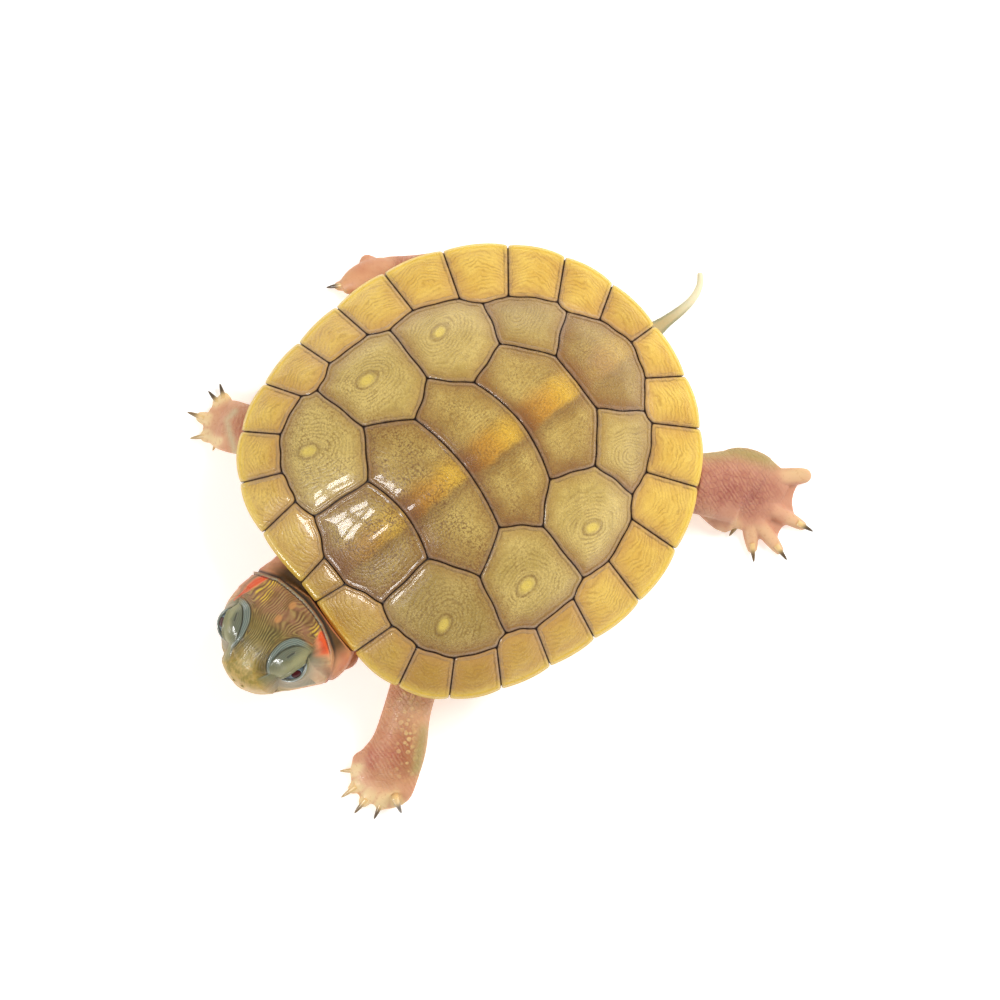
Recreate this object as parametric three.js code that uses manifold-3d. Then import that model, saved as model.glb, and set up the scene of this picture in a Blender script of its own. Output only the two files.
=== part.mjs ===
// Hatchling slider turtle, life size, standing with its head turned to its left.
// Millimetres, +Z up. The origin is on the floor under the middle of the shell,
// the head end faces -Y and the turtle's left side is +X.
import * as THREE from 'three';
import { mergeVertices } from 'three/addons/utils/BufferGeometryUtils.js';
import Module from 'manifold-3d';

const wasm = await Module();
wasm.setup();

// ---- driving dimensions ----------------------------------------------------

const SHELL_HEIGHT = 15;
const PLATE_THICKNESS = 0.75;
const RIM_THICKNESS = 0.55;
const PLATE_GAP = 0.1;            // between neighbouring horny plates
const TRUNK_CLEARANCE = 0.3;      // between the plates and the body under them
const FLESH_GAP = 0.1;            // between two cut pieces of flesh
const KEEL_HEIGHT = 0.45;
const KEEL_HALF_WIDTH = 1.0;

// Cosine series of the angle round the shell, 0 at the head and 180 at the tail.
const RIM_RADIUS = [16.84, 0.665, 0.453, -0.309, -0.535, -0.306, -0.166];
const RIM_HEIGHT = [5.7, 1.4, 0.7];
const MARGINAL_RISE = [2.6, 0, -0.5];
const INNER_RING_RATIO = [0.791, 0.027, 0.026, -0.028, 0.015];

const PLASTRON_THICKNESS = 1.7;
const PLASTRON_FLAT_HALF_WIDTH = 9;
const BRIDGE_CURVE = 0.28;

// Left half of the plastron, from the throat to the notch under the tail.
const PLASTRON_OUTLINE = [
  [0, -13.5], [3.4, -13.7], [6.6, -11.9], [8.2, -8.6], [12.1, -5.4], [12.35, -0.6],
  [11.7, 4.2], [8.3, 7.0], [7.7, 9.9], [6.0, 12.3], [2.4, 13.9], [0, 13.1],
];

// Where three seams of the shell meet, on the left side: V vertebral, C costal.
const JUNCTIONS = {
  V1C1: [4.1, -12.8], V1V2C1: [3.6, -8.18], C1C2V2: [6.96, -5.97], V2V3C2: [5.0, -2.7],
  C2C3V3: [6.9, -0.08], V3V4C3: [4.5, 2.4], C3C4V4: [5.7, 5.8], V4V5C4: [2.45, 8.5],
  V5C4: [4.75, 11.55], C1C2: [11.4, -6.9], C2C3: [11.7, 0.15], C3C4: [9.1, 6.97],
};
const MIDLINE_SEAMS = { F1: -14.02, F2: -7.5, F3: -2.04, F4: 3.21, F5: 8.47 };

// Inner ends of the seams between marginals, from the nuchal to the tail.
const INNER_ENDS = [
  [1.25, -14.06], [5.83, -13.22], [8.14, -12.7], [10.51, -11.03], [11.82, -8.07],
  [12.5, -4.9], [12.47, -1.33], [11.87, 2.5], [10.47, 5.83], [8.4, 8.87],
  [5.76, 11.5], [2.77, 13.17], [0, 14.05],
];
// The same seams at the rim, as angles from the head end.
const OUTER_ANGLES = [3.1, 18.7, 31.6, 43.9, 56.5, 69.9, 83.7, 99.7, 116.9, 134.5, 150, 164.4, 180];

const SIDE_PLATES = {
  costal_1: ['V1C1', 'I1', 'I2', 'I3', 'I4', 'C1C2', 'C1C2V2', 'V1V2C1'],
  costal_2: ['C1C2V2', 'C1C2', 'I5', 'I6', 'C2C3', 'C2C3V3', 'V2V3C2'],
  costal_3: ['C2C3V3', 'C2C3', 'I7', 'I8', 'C3C4', 'C3C4V4', 'V3V4C3'],
  costal_4: ['C3C4V4', 'C3C4', 'I9', 'I10', 'V5C4', 'V4V5C4'],
};
// Corners that the costal seams add to a marginal's inner edge.
const MARGINAL_EXTRA = { 1: 'V1C1', 5: 'C1C2', 7: 'C2C3', 9: 'C3C4', 11: 'V5C4' };
// Left halves of the plates on the midline.
const MIDDLE_PLATES = {
  vertebral_1: ['F1', 'I0', 'V1C1', 'V1V2C1', 'F2'],
  vertebral_2: ['F2', 'V1V2C1', 'C1C2V2', 'V2V3C2', 'F3'],
  vertebral_3: ['F3', 'V2V3C2', 'C2C3V3', 'V3V4C3', 'F4'],
  vertebral_4: ['F4', 'V3V4C3', 'C3C4V4', 'V4V5C4', 'F5'],
  vertebral_5: ['F5', 'V4V5C4', 'V5C4', 'I11', 'I12'],
};

// Head frame: its origin is midway between the eyes.
const HEAD_CENTRE = new THREE.Vector3(1.0, -22.06, 6.7);
const HEAD_YAW = 16.5;
const HEAD_ROLL = 8;
const HEAD_LIFT = 5;
// Stations from nape to snout: [forward, left half width, right half width, top, bottom].
const HEAD_STATIONS = [
  [-5.2, 4.8, 3.4, 1.2, -3.4], [-4.0, 5.5, 3.95, 1.75, -3.75], [-2.6, 5.75, 4.25, 2.05, -3.9],
  [-1.2, 5.25, 4.15, 2.1, -3.9], [0, 4.15, 3.65, 1.85, -3.75], [1.1, 3.2, 3.1, 1.35, -3.4],
  [2.1, 2.35, 2.35, 0.75, -2.95], [2.75, 1.45, 1.45, 0.1, -2.5],
];
const SNOUT_TIP = [3.1, -1.1];                 // forward, up
const HEAD_SIDES = 16;
const MOUTH = { front: -1.75, slope: 0.06, corner: -1.9, gap: 0.1 };
const EYE = { radius: 1.3, side: 2.5, forward: -0.5, up: 0.15, socketGap: 0.08 };

// Centre lines of the soft parts: [x, y, z, half width, half height].
const NECK = [
  [1.9, -20.3, 4.6, 3.7, 2.0], [1.55, -19.4, 4.9, 4.85, 2.9], [1.2, -18.2, 4.9, 5.1, 2.8],
  [0.9, -16.6, 4.7, 4.75, 2.5], [0.5, -14.6, 4.5, 4.4, 2.4], [0.2, -13.0, 4.5, 4.1, 2.3],
];
const TAIL = [
  [0.2, 12.4, 3.2, 1.4, 1.3], [0.2, 14.6, 3.0, 1.15, 1.05], [0.2, 17.3, 2.4, 0.62, 0.6],
  [0.22, 18.9, 2.0, 0.5, 0.48], [0.15, 20.0, 1.7, 0.42, 0.4], [-0.1, 20.95, 1.45, 0.36, 0.34],
  [-0.55, 21.7, 1.25, 0.31, 0.3], [-1.2, 22.23, 1.1, 0.25, 0.25],
];
// Each limb: the stations of its leg and its sole, and the tips of its toes, inner toe first.
// The outer toe of a hind foot has no claw.
const LIMBS = {
  front_left: {
    leg: [[8.0, -11.3, 3.8, 1.7, 1.7], [9.6, -13.6, 3.6, 1.8, 1.7], [11.4, -16.1, 3.1, 1.8, 1.6],
      [13.1, -18.2, 2.3, 2.1, 1.4], [13.9, -19.7, 1.6, 2.4, 1.15]],
    sole: [[13.5, -19.0, 1.7, 2.25, 1.2], [14.3, -20.9, 1.0, 2.7, 0.85],
      [14.5, -22.0, 0.7, 2.2, 0.6], [14.6, -22.7, 0.5, 1.5, 0.4]],
    toes: [[11.96, -23.08], [13.62, -24.21], [15.19, -24.16], [16.45, -23.25], [17.39, -21.34]],
    spread: 1.9,
  },
  front_right: {
    leg: [[-8.6, -10.6, 3.8, 1.7, 1.7], [-10.6, -11.7, 3.4, 1.8, 1.6], [-12.4, -12.5, 2.7, 1.9, 1.5],
      [-13.6, -13.3, 1.8, 2.0, 1.2]],
    sole: [[-13.0, -12.9, 2.0, 1.95, 1.25], [-14.5, -13.9, 1.0, 2.3, 0.85],
      [-15.3, -14.4, 0.7, 1.9, 0.6], [-15.8, -14.7, 0.5, 1.3, 0.4]],
    toes: [[-13.39, -15.75], [-15.2, -16.55], [-16.93, -15.48], [-17.23, -13.22], [-17.15, -12.17]],
    spread: 1.6,
  },
  hind_left: {
    leg: [[7.8, 8.4, 3.6, 1.9, 1.7], [9.8, 9.9, 3.2, 2.0, 1.6], [11.7, 11.7, 2.7, 2.1, 1.5],
      [13.0, 13.2, 2.0, 2.45, 1.35], [13.8, 14.3, 1.6, 2.8, 1.15]],
    sole: [[13.3, 13.6, 1.8, 2.6, 1.2], [14.8, 15.0, 1.0, 3.0, 0.85],
      [15.9, 15.6, 0.7, 2.6, 0.6], [16.6, 15.9, 0.5, 1.9, 0.4]],
    toes: [[16.14, 11.54], [18.88, 11.8], [20.32, 13.9], [19.83, 16.85], [16.34, 19.4]],
    spread: 2.6,
    clawless: 4,
  },
  hind_right: {
    leg: [[-8.2, 8.8, 3.6, 1.9, 1.7], [-10.6, 7.8, 3.2, 2.0, 1.6], [-12.7, 6.2, 2.5, 2.1, 1.45],
      [-14.0, 4.4, 1.8, 2.1, 1.2]],
    sole: [[-13.6, 5.0, 1.95, 2.1, 1.25], [-14.7, 2.9, 1.0, 2.5, 0.85],
      [-15.2, 1.7, 0.7, 2.2, 0.6], [-15.5, 1.0, 0.5, 1.6, 0.4]],
    toes: [[-12.2, -1.2], [-14.1, -2.4], [-15.8, -2.3], [-18.0, -1.16], [-18.1, 2.3]],
    spread: 2.0,
    clawless: 4,
  },
};
const LIMB_SIDES = 10;
const TOE_SIDES = 6;
const TOE_HEIGHT = 0.42;
const CLAW_LENGTH = 0.95;
const WEB_THICKNESS = 0.5;
const WEB_REACH = 0.92;

// ---- small helpers ---------------------------------------------------------

const cosineSeries = (terms, angle) =>
  terms.reduce((sum, term, order) => sum + term * Math.cos(order * angle), 0);
const clamp01 = (value) => Math.min(1, Math.max(0, value));
const mirrored = ([x, y]) => [-x, y];
const radians = THREE.MathUtils.degToRad;

function shellAngle(x, y) {
  return Math.atan2(Math.abs(x), -y);
}

function rimPoint(degrees, scale = 1) {
  const angle = radians(degrees);
  const radius = cosineSeries(RIM_RADIUS, angle) * scale;
  return [radius * Math.sin(angle), -radius * Math.cos(angle)];
}

// ---- surfaces of the shell -------------------------------------------------

function keel(x, y) {
  const along = clamp01((y + 14) / 4) * clamp01((13 - y) / 4);
  return KEEL_HEIGHT * along * Math.exp(-((x / KEEL_HALF_WIDTH) ** 2));
}

// Upper surface: a low dome inside the inner ring, and a flatter skirt of marginals.
function domeHeight(x, y) {
  const angle = shellAngle(x, y);
  const reach = Math.hypot(x, y) / cosineSeries(RIM_RADIUS, angle);
  const ring = cosineSeries(INNER_RING_RATIO, angle);
  const rim = cosineSeries(RIM_HEIGHT, angle);
  const rise = cosineSeries(MARGINAL_RISE, angle);
  const skirt = rise * clamp01((1 - reach) / (1 - ring));
  const crown = (SHELL_HEIGHT - KEEL_HEIGHT - rim - rise) * clamp01(1 - (reach / ring) ** 2);
  return rim + skirt + crown + keel(x, y);
}

// Underside of the marginals: it drops to the bridge at the sides and is level elsewhere.
function marginalUnderside(x, y) {
  const angle = shellAngle(x, y);
  const radius = cosineSeries(RIM_RADIUS, angle);
  const inward = Math.max(0, radius - Math.hypot(x, y));
  const bridge = Math.max(0, Math.sin(angle)) ** 4;
  return cosineSeries(RIM_HEIGHT, angle) - RIM_THICKNESS - inward * (0.38 * bridge - 0.08);
}

function plastronUnderside(x) {
  return BRIDGE_CURVE * Math.max(0, Math.abs(x) - PLASTRON_FLAT_HALF_WIDTH) ** 2;
}

const plastronTop = (x) => PLASTRON_THICKNESS + plastronUnderside(x);

// ---- closed bodies ---------------------------------------------------------

function bodyFromTriangles(points, triangles) {
  const geometry = new THREE.BufferGeometry();
  geometry.setAttribute('position', new THREE.Float32BufferAttribute(points.flat(), 3));
  geometry.setIndex(triangles.flat());
  return geometry;
}

// A body between two height functions over a star-shaped outline, in scaled rings.
function plate(outline, top, underside, { rings = [1, 0.5], inset = 0 } = {}) {
  const count = outline.length;
  const centre = [0, 1].map((axis) => outline.reduce((sum, point) => sum + point[axis], 0) / count);
  const edge = insetOutline(outline, inset);
  const points = [];
  const triangles = [];
  const addSurface = (height) => {
    const start = points.length;
    for (const scale of rings) {
      for (const point of edge) {
        const [x, y] = centre.map((middle, axis) => middle + scale * (point[axis] - middle));
        points.push([x, y, height(x, y)]);
      }
    }
    points.push([...centre, height(...centre)]);
    return start;
  };
  const topStart = addSurface(top);
  const bottomStart = addSurface(underside);
  const last = rings.length - 1;
  for (let i = 0; i < count; i += 1) {
    const next = (i + 1) % count;
    for (const [start, upward] of [[topStart, true], [bottomStart, false]]) {
      const add = (a, b, c) => triangles.push(upward ? [a, b, c] : [a, c, b]);
      for (let ring = 0; ring < last; ring += 1) {
        const outer = start + ring * count;
        add(outer + i, outer + next, outer + count + next);
        add(outer + i, outer + count + next, outer + count + i);
      }
      const inner = start + last * count;
      add(inner + i, inner + next, start + rings.length * count);
    }
    triangles.push([bottomStart + i, bottomStart + next, topStart + next]);
    triangles.push([bottomStart + i, topStart + next, topStart + i]);
  }
  return bodyFromTriangles(points, triangles);
}

// Moves an anticlockwise outline inward by a distance, or outward by a negative one.
function insetOutline(outline, distance) {
  if (distance === 0) return outline;
  const count = outline.length;
  return outline.map(([x, y], i) => {
    const before = outline[(i + count - 1) % count];
    const after = outline[(i + 1) % count];
    const normals = [[before, [x, y]], [[x, y], after]].map(([from, to]) => {
      const length = Math.hypot(to[0] - from[0], to[1] - from[1]);
      return [-(to[1] - from[1]) / length, (to[0] - from[0]) / length];
    });
    const sum = [normals[0][0] + normals[1][0], normals[0][1] + normals[1][1]];
    const square = sum[0] ** 2 + sum[1] ** 2;
    return [x + (2 * distance * sum[0]) / square, y + (2 * distance * sum[1]) / square];
  });
}

// A tube through closed rings of points, with its ends closed on their middles.
function tube(rings) {
  const sides = rings[0].length;
  const points = rings.flat();
  const triangles = [];
  for (let ring = 0; ring < rings.length - 1; ring += 1) {
    for (let i = 0; i < sides; i += 1) {
      const [a, b] = [ring * sides + i, ring * sides + ((i + 1) % sides)];
      triangles.push([a, b, b + sides], [a, b + sides, a + sides]);
    }
  }
  const addEnd = (ring, forward) => {
    const start = ring * sides;
    const middle = [0, 1, 2].map((axis) => rings[ring].reduce((sum, p) => sum + p[axis], 0) / sides);
    points.push(middle);
    for (let i = 0; i < sides; i += 1) {
      const [a, b] = [start + i, start + ((i + 1) % sides)];
      triangles.push(forward ? [a, b, points.length - 1] : [b, a, points.length - 1]);
    }
  };
  addEnd(0, false);
  addEnd(rings.length - 1, true);
  return bodyFromTriangles(points, triangles);
}

// A limb-like tube: oval stations [x, y, z, half width, half height] square to their path.
function ovalTube(stations, sides = LIMB_SIDES) {
  const centres = stations.map(([x, y, z]) => new THREE.Vector3(x, y, z));
  const rings = stations.map(([, , , halfWidth, halfHeight], i) => {
    const from = centres[Math.max(0, i - 1)];
    const to = centres[Math.min(centres.length - 1, i + 1)];
    const forward = to.clone().sub(from).normalize();
    const across = new THREE.Vector3(0, 0, 1).cross(forward).normalize();
    const up = forward.clone().cross(across);
    return Array.from({ length: sides }, (_, side) => {
      const turn = (2 * Math.PI * (side + 0.5)) / sides;
      return centres[i].clone()
        .addScaledVector(across, halfWidth * Math.cos(turn))
        .addScaledVector(up, halfHeight * Math.sin(turn))
        .toArray();
    });
  });
  return tube(rings);
}

// ---- joining and cutting ---------------------------------------------------

function solid(geometry) {
  const bare = geometry.clone();
  bare.deleteAttribute('normal');
  bare.deleteAttribute('uv');
  const merged = mergeVertices(bare, 1e-5);
  return new wasm.Manifold(new wasm.Mesh({
    numProp: 3,
    vertProperties: new Float32Array(merged.attributes.position.array),
    triVerts: new Uint32Array(merged.index.array),
  }));
}

function geometryOf(manifold) {
  const mesh = manifold.getMesh();
  const geometry = new THREE.BufferGeometry();
  geometry.setAttribute('position', new THREE.Float32BufferAttribute(mesh.vertProperties, 3));
  geometry.setIndex([...mesh.triVerts]);
  return geometry;
}

const joined = (pieces) => pieces.reduce((whole, piece) => whole.add(piece));
const BELOW_FLOOR = solid(new THREE.BoxGeometry(80, 80, 10).translate(0, 0, -5));

// ---- plates of the shell ---------------------------------------------------

function cornerPoint(name) {
  if (name in JUNCTIONS) return JUNCTIONS[name];
  if (name in MIDLINE_SEAMS) return [0, MIDLINE_SEAMS[name]];
  const index = Number(name.slice(1));
  return name[0] === 'I' ? INNER_ENDS[index] : rimPoint(OUTER_ANGLES[index]);
}

// Adds points along the straight stretches, so that a plate can follow the dome.
function subdivided(corners, longest = 3.2) {
  return corners.flatMap((from, i) => {
    const to = corners[(i + 1) % corners.length];
    const steps = Math.max(1, Math.round(Math.hypot(to[0] - from[0], to[1] - from[1]) / longest));
    return Array.from({ length: steps }, (_, step) =>
      [0, 1].map((axis) => from[axis] + ((to[axis] - from[axis]) * step) / steps));
  });
}

function rimArc(fromDegrees, toDegrees, steps = 2) {
  return Array.from({ length: steps + 1 }, (_, step) =>
    rimPoint(fromDegrees + ((toDegrees - fromDegrees) * step) / steps));
}

const shellPlate = (outline, underside) =>
  plate(outline, domeHeight, underside, { inset: PLATE_GAP / 2 });
const thinUnderside = (x, y) => domeHeight(x, y) - PLATE_THICKNESS;

function marginalOutline(number) {
  const inner = [`I${number}`, MARGINAL_EXTRA[number], `I${number - 1}`].filter(Boolean).map(cornerPoint);
  return [...rimArc(OUTER_ANGLES[number - 1], OUTER_ANGLES[number]), ...inner];
}

const bothSides = (half) => [...half, ...half.slice(1, -1).map(mirrored).reverse()];

// ---- body under the plates -------------------------------------------------

function innerRingOutline() {
  const left = ['F1', 'I0', 'V1C1', 'I1', 'I2', 'I3', 'I4', 'C1C2', 'I5', 'I6', 'C2C3', 'I7', 'I8',
    'C3C4', 'I9', 'I10', 'V5C4', 'I11', 'I12'].map(cornerPoint);
  return bothSides(left);
}

function plastronOutline() {
  const curve = new THREE.CatmullRomCurve3(
    PLASTRON_OUTLINE.map(([x, y]) => new THREE.Vector3(x, y, 0)), false, 'centripetal');
  return bothSides(curve.getPoints(22).map(({ x, y }) => [x, y]));
}

const trunkUnderside = (x) => plastronTop(x) + TRUNK_CLEARANCE;
const trunkTop = (x, y) => domeHeight(x, y) - PLATE_THICKNESS - TRUNK_CLEARANCE;

function trunkBody() {
  return plate(innerRingOutline(), trunkTop, trunkUnderside,
    { rings: [1, 0.86, 0.68, 0.48, 0.25], inset: FLESH_GAP });
}

// The bridges of the plastron end against the inner edges of the marginals.
function plastronBody() {
  const whole = plate(plastronOutline(), plastronTop, plastronUnderside,
    { rings: [1, 0.94, 0.86, 0.75] });
  const room = plate(innerRingOutline(), () => SHELL_HEIGHT, () => -1, { inset: FLESH_GAP });
  return geometryOf(solid(whole).intersect(solid(room)));
}

// Everything that the neck, limbs and tail are cut back from, each grown by the gap.
function shellClearance() {
  const rim = bothSides(rimArc(0, 180, 36));
  const overhang = plate(rim, () => SHELL_HEIGHT + 1,
    (x, y) => marginalUnderside(x, y) - FLESH_GAP, { rings: [1, 0.9, 0.8, 0.5], inset: -FLESH_GAP });
  const trunk = plate(innerRingOutline(), () => SHELL_HEIGHT, (x) => trunkUnderside(x) - FLESH_GAP,
    { rings: [1, 0.86, 0.68, 0.4], inset: 0 });
  const plastron = plate(plastronOutline(), (x) => plastronTop(x) + FLESH_GAP, () => -1,
    { rings: [1, 0.94, 0.86, 0.75], inset: 0 });
  return joined([overhang, trunk, plastron].map(solid));
}

// ---- head ------------------------------------------------------------------

const headTurn = new THREE.Matrix4()
  .makeTranslation(HEAD_CENTRE)
  .multiply(new THREE.Matrix4().makeRotationZ(radians(HEAD_YAW)))
  .multiply(new THREE.Matrix4().makeRotationX(-radians(HEAD_LIFT)))
  .multiply(new THREE.Matrix4().makeRotationY(-radians(HEAD_ROLL)));

// Head points are given as left, forward and up; forward is -Y before the turn.
const headPoint = (left, forward, up) =>
  new THREE.Vector3(left, -forward, up).applyMatrix4(headTurn).toArray();

function headBody(growth = 0) {
  const middleUp = -0.9;
  const power = 0.86;
  const rings = HEAD_STATIONS.map(([forward, left, right, top, bottom]) =>
    Array.from({ length: HEAD_SIDES }, (_, side) => {
      const turn = (2 * Math.PI * side) / HEAD_SIDES;
      const [cosine, sine] = [Math.cos(turn), Math.sin(turn)];
      const across = Math.sign(cosine) * Math.abs(cosine) ** power;
      const rise = Math.sign(sine) * Math.abs(sine) ** power;
      const reach = sine > 0 ? top - middleUp : middleUp - bottom;
      return headPoint(across * ((cosine > 0 ? left : right) + growth), forward,
        middleUp + rise * (reach + growth));
    }));
  const tip = headPoint(0, SNOUT_TIP[0] + growth, SNOUT_TIP[1]);
  const nose = rings[rings.length - 1].map((point) =>
    point.map((value, axis) => tip[axis] + 0.45 * (value - tip[axis])));
  return solid(tube([...rings, nose]));
}

// The wedge under the mouth line, ahead of the corner of the jaw.
function jawWedge(growth) {
  const wedge = new THREE.BoxGeometry(14, 8, 6);
  wedge.translate(0, -(MOUTH.corner - growth) - 4, MOUTH.front + growth - 3);
  wedge.applyMatrix4(new THREE.Matrix4().makeRotationX(-MOUTH.slope));
  return solid(wedge.applyMatrix4(headTurn));
}

function eyeball(side, growth = 0) {
  const ball = new THREE.SphereGeometry(EYE.radius + growth, 14, 9);
  ball.translate(...headPoint(side * EYE.side, EYE.forward, EYE.up));
  return ball;
}

// ---- limbs -----------------------------------------------------------------

const between = (from, to, share) => from.map((value, axis) => value + share * (to[axis] - value));
const span = (from, to) => Math.hypot(to[0] - from[0], to[1] - from[1]);

// A toe runs from inside the palm to the tip of its claw, or to its own blunt end.
function toe(root, tip, clawed) {
  const clawStart = 1 - CLAW_LENGTH / span(root, tip);
  const at = (share, z, radius) => [...between(root, tip, share), z, radius, radius];
  const end = clawed
    ? [at(clawStart, TOE_HEIGHT, 0.42), at(clawStart + 0.04, TOE_HEIGHT, 0.3), at(1, 0.2, 0.1)]
    : [at(clawStart, TOE_HEIGHT, 0.6), at(0.5 + 0.5 * clawStart, TOE_HEIGHT, 0.55), at(1, 0.4, 0.3)];
  return solid(ovalTube([at(0, 0.6, 0.62), at(0.6 * clawStart, 0.55, 0.58), ...end], TOE_SIDES));
}

// The web fills the space between the toes, drawn in a little between each pair.
function web(palm, heel, halfWidth, across, tips) {
  const ends = tips.map((tip) => between(palm, tip, 1 - (CLAW_LENGTH + 0.25) / span(palm, tip)));
  const edge = ends.flatMap((end, i) => {
    if (i === ends.length - 1) return [end];
    return [end, between(palm, between(end, ends[i + 1], 0.5), WEB_REACH)];
  });
  const heelCorner = (side) => heel.map((value, axis) => value + side * halfWidth * across[axis]);
  const towardsFirst = Math.sign(across[0] * (ends[0][0] - heel[0]) + across[1] * (ends[0][1] - heel[1]));
  const outline = [heelCorner(towardsFirst), ...edge, heelCorner(-towardsFirst)];
  const top = (x, y) => WEB_THICKNESS + 0.45 * clamp01(1 - span(palm, [x, y]) / 2.4);
  return solid(plate(towardsFirst > 0 ? outline.reverse() : outline, top, () => 0));
}

function footBody({ sole, toes, spread, clawless }) {
  const [heel, palm, ball] = sole;
  const length = span(palm, ball);
  const across = [-(ball[1] - palm[1]) / length, (ball[0] - palm[0]) / length];
  const middle = palm.slice(0, 2);
  const digits = toes.map((tip, number) => {
    const side = (tip[0] - palm[0]) * across[0] + (tip[1] - palm[1]) * across[1];
    const offset = 0.5 * THREE.MathUtils.clamp(side, -spread, spread);
    const root = middle.map((value, axis) => value + across[axis] * offset);
    return toe(root, tip, number !== clawless);
  });
  const fan = web(middle, heel.slice(0, 2), 0.7 * heel[3], across, toes);
  return joined([solid(ovalTube(sole)), fan, ...digits]);
}

// ---- materials -------------------------------------------------------------

const finish = (color, roughness) =>
  new THREE.MeshStandardMaterial({ color, roughness, metalness: 0 });
const vertebralHorn = finish('#b8955a', 0.3);
const costalHorn = finish('#cdb474', 0.3);
const marginalHorn = finish('#e3bd66', 0.3);
const plastronHorn = finish('#e0c070', 0.35);
const bodySkin = finish('#b98a6a', 0.5);
const headSkin = finish('#97805a', 0.4);
const jawSkin = finish('#cbb283', 0.4);
const legSkin = finish('#c08468', 0.5);
const footSkin = finish('#d39a78', 0.5);
const tailSkin = finish('#b9a878', 0.5);
const eyeGlass = finish('#2a1410', 0.08);

// ---- the turtle ------------------------------------------------------------

const turtle = new THREE.Group();

function add(name, geometry, material, parent = turtle) {
  const mesh = new THREE.Mesh(geometry, material);
  mesh.name = name;
  parent.add(mesh);
}

function addCarapace() {
  const carapace = new THREE.Group();
  for (const [name, corners] of Object.entries(MIDDLE_PLATES)) {
    const outline = subdivided(bothSides(corners.map(cornerPoint)));
    add(name, shellPlate(outline, thinUnderside), vertebralHorn, carapace);
  }
  const nuchalLeft = [rimPoint(0), rimPoint(OUTER_ANGLES[0]), cornerPoint('I0'), cornerPoint('F1')];
  add('nuchal', shellPlate(bothSides(nuchalLeft), marginalUnderside), marginalHorn, carapace);
  for (const side of ['left', 'right']) {
    const place = (outline) => (side === 'left' ? outline : outline.map(mirrored).reverse());
    for (const [name, corners] of Object.entries(SIDE_PLATES)) {
      const [family, number] = name.split('_');
      const outline = place(subdivided(corners.map(cornerPoint)));
      add(`${family}_${side}_${number}`, shellPlate(outline, thinUnderside), costalHorn, carapace);
    }
    for (let number = 1; number < OUTER_ANGLES.length; number += 1) {
      const outline = place(marginalOutline(number));
      add(`marginal_${side}_${number}`, shellPlate(outline, marginalUnderside), marginalHorn, carapace);
    }
  }
  turtle.add(carapace);
}

function addHead(clearance) {
  const head = new THREE.Group();
  const whole = headBody().subtract(clearance);
  const sockets = [1, -1].map((side) => solid(eyeball(side, EYE.socketGap)));
  const skull = whole.subtract(jawWedge(MOUTH.gap)).subtract(joined(sockets));
  add('head', geometryOf(skull), headSkin, head);
  add('lower_jaw', geometryOf(whole.intersect(jawWedge(0))), jawSkin, head);
  add('eye_left', eyeball(1), eyeGlass, head);
  add('eye_right', eyeball(-1), eyeGlass, head);
  const neck = solid(ovalTube(NECK, 14)).subtract(clearance).subtract(headBody(FLESH_GAP));
  add('neck', geometryOf(neck), bodySkin, head);
  turtle.add(head);
}

// The space ahead of the ankle plane, or behind it, less half the gap there.
function ankleSide({ leg }, ahead) {
  const [from, to] = leg.slice(-2);
  const turn = Math.atan2(to[1] - from[1], to[0] - from[0]) - Math.PI / 2;
  const space = new THREE.BoxGeometry(14, 14, 14);
  space.translate(0, (ahead ? 1 : -1) * (7 + FLESH_GAP / 2), 0);
  return solid(space.rotateZ(turn).translate(to[0], to[1], 2));
}

function addLimbs(clearance) {
  const limbs = new THREE.Group();
  const tooHighOrLow = clearance.add(BELOW_FLOOR);
  for (const [name, limb] of Object.entries(LIMBS)) {
    const leg = solid(ovalTube(limb.leg)).intersect(ankleSide(limb, false)).subtract(tooHighOrLow);
    const foot = footBody(limb).intersect(ankleSide(limb, true)).subtract(tooHighOrLow);
    add(`leg_${name}`, geometryOf(leg), legSkin, limbs);
    add(`foot_${name}`, geometryOf(foot), footSkin, limbs);
  }
  turtle.add(limbs);
}

const clearance = shellClearance();
addCarapace();
add('trunk', trunkBody(), bodySkin);
add('plastron', plastronBody(), plastronHorn);
addHead(clearance);
addLimbs(clearance);
add('tail', geometryOf(solid(ovalTube(TAIL, 8)).subtract(clearance)), tailSkin);

export default turtle;
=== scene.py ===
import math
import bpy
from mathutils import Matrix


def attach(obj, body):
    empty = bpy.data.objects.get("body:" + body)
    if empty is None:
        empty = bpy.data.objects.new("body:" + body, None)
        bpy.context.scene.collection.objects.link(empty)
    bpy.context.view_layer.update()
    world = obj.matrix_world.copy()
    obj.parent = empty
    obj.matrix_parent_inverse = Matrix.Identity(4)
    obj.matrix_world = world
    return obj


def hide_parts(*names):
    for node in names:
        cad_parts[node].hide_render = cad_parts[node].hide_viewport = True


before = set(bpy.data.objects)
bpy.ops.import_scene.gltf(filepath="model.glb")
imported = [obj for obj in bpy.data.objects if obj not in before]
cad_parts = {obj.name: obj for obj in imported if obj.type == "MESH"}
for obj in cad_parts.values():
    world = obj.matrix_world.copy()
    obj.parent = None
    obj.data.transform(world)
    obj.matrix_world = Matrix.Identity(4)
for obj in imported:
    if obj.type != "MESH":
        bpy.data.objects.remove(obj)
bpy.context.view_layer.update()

# The looks of a pale hatchling slider turtle. Shapes are worked out in millimetres, in the
# solids' own frame (head end -Y, left side +X, floor at zero), and stored in metres.
from types import SimpleNamespace

import bmesh
import bpy
import numpy as np
from mathutils import Matrix, Vector

MM = 0.001

# ---- driving dimensions, as in the solids ----------------------------------

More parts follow.
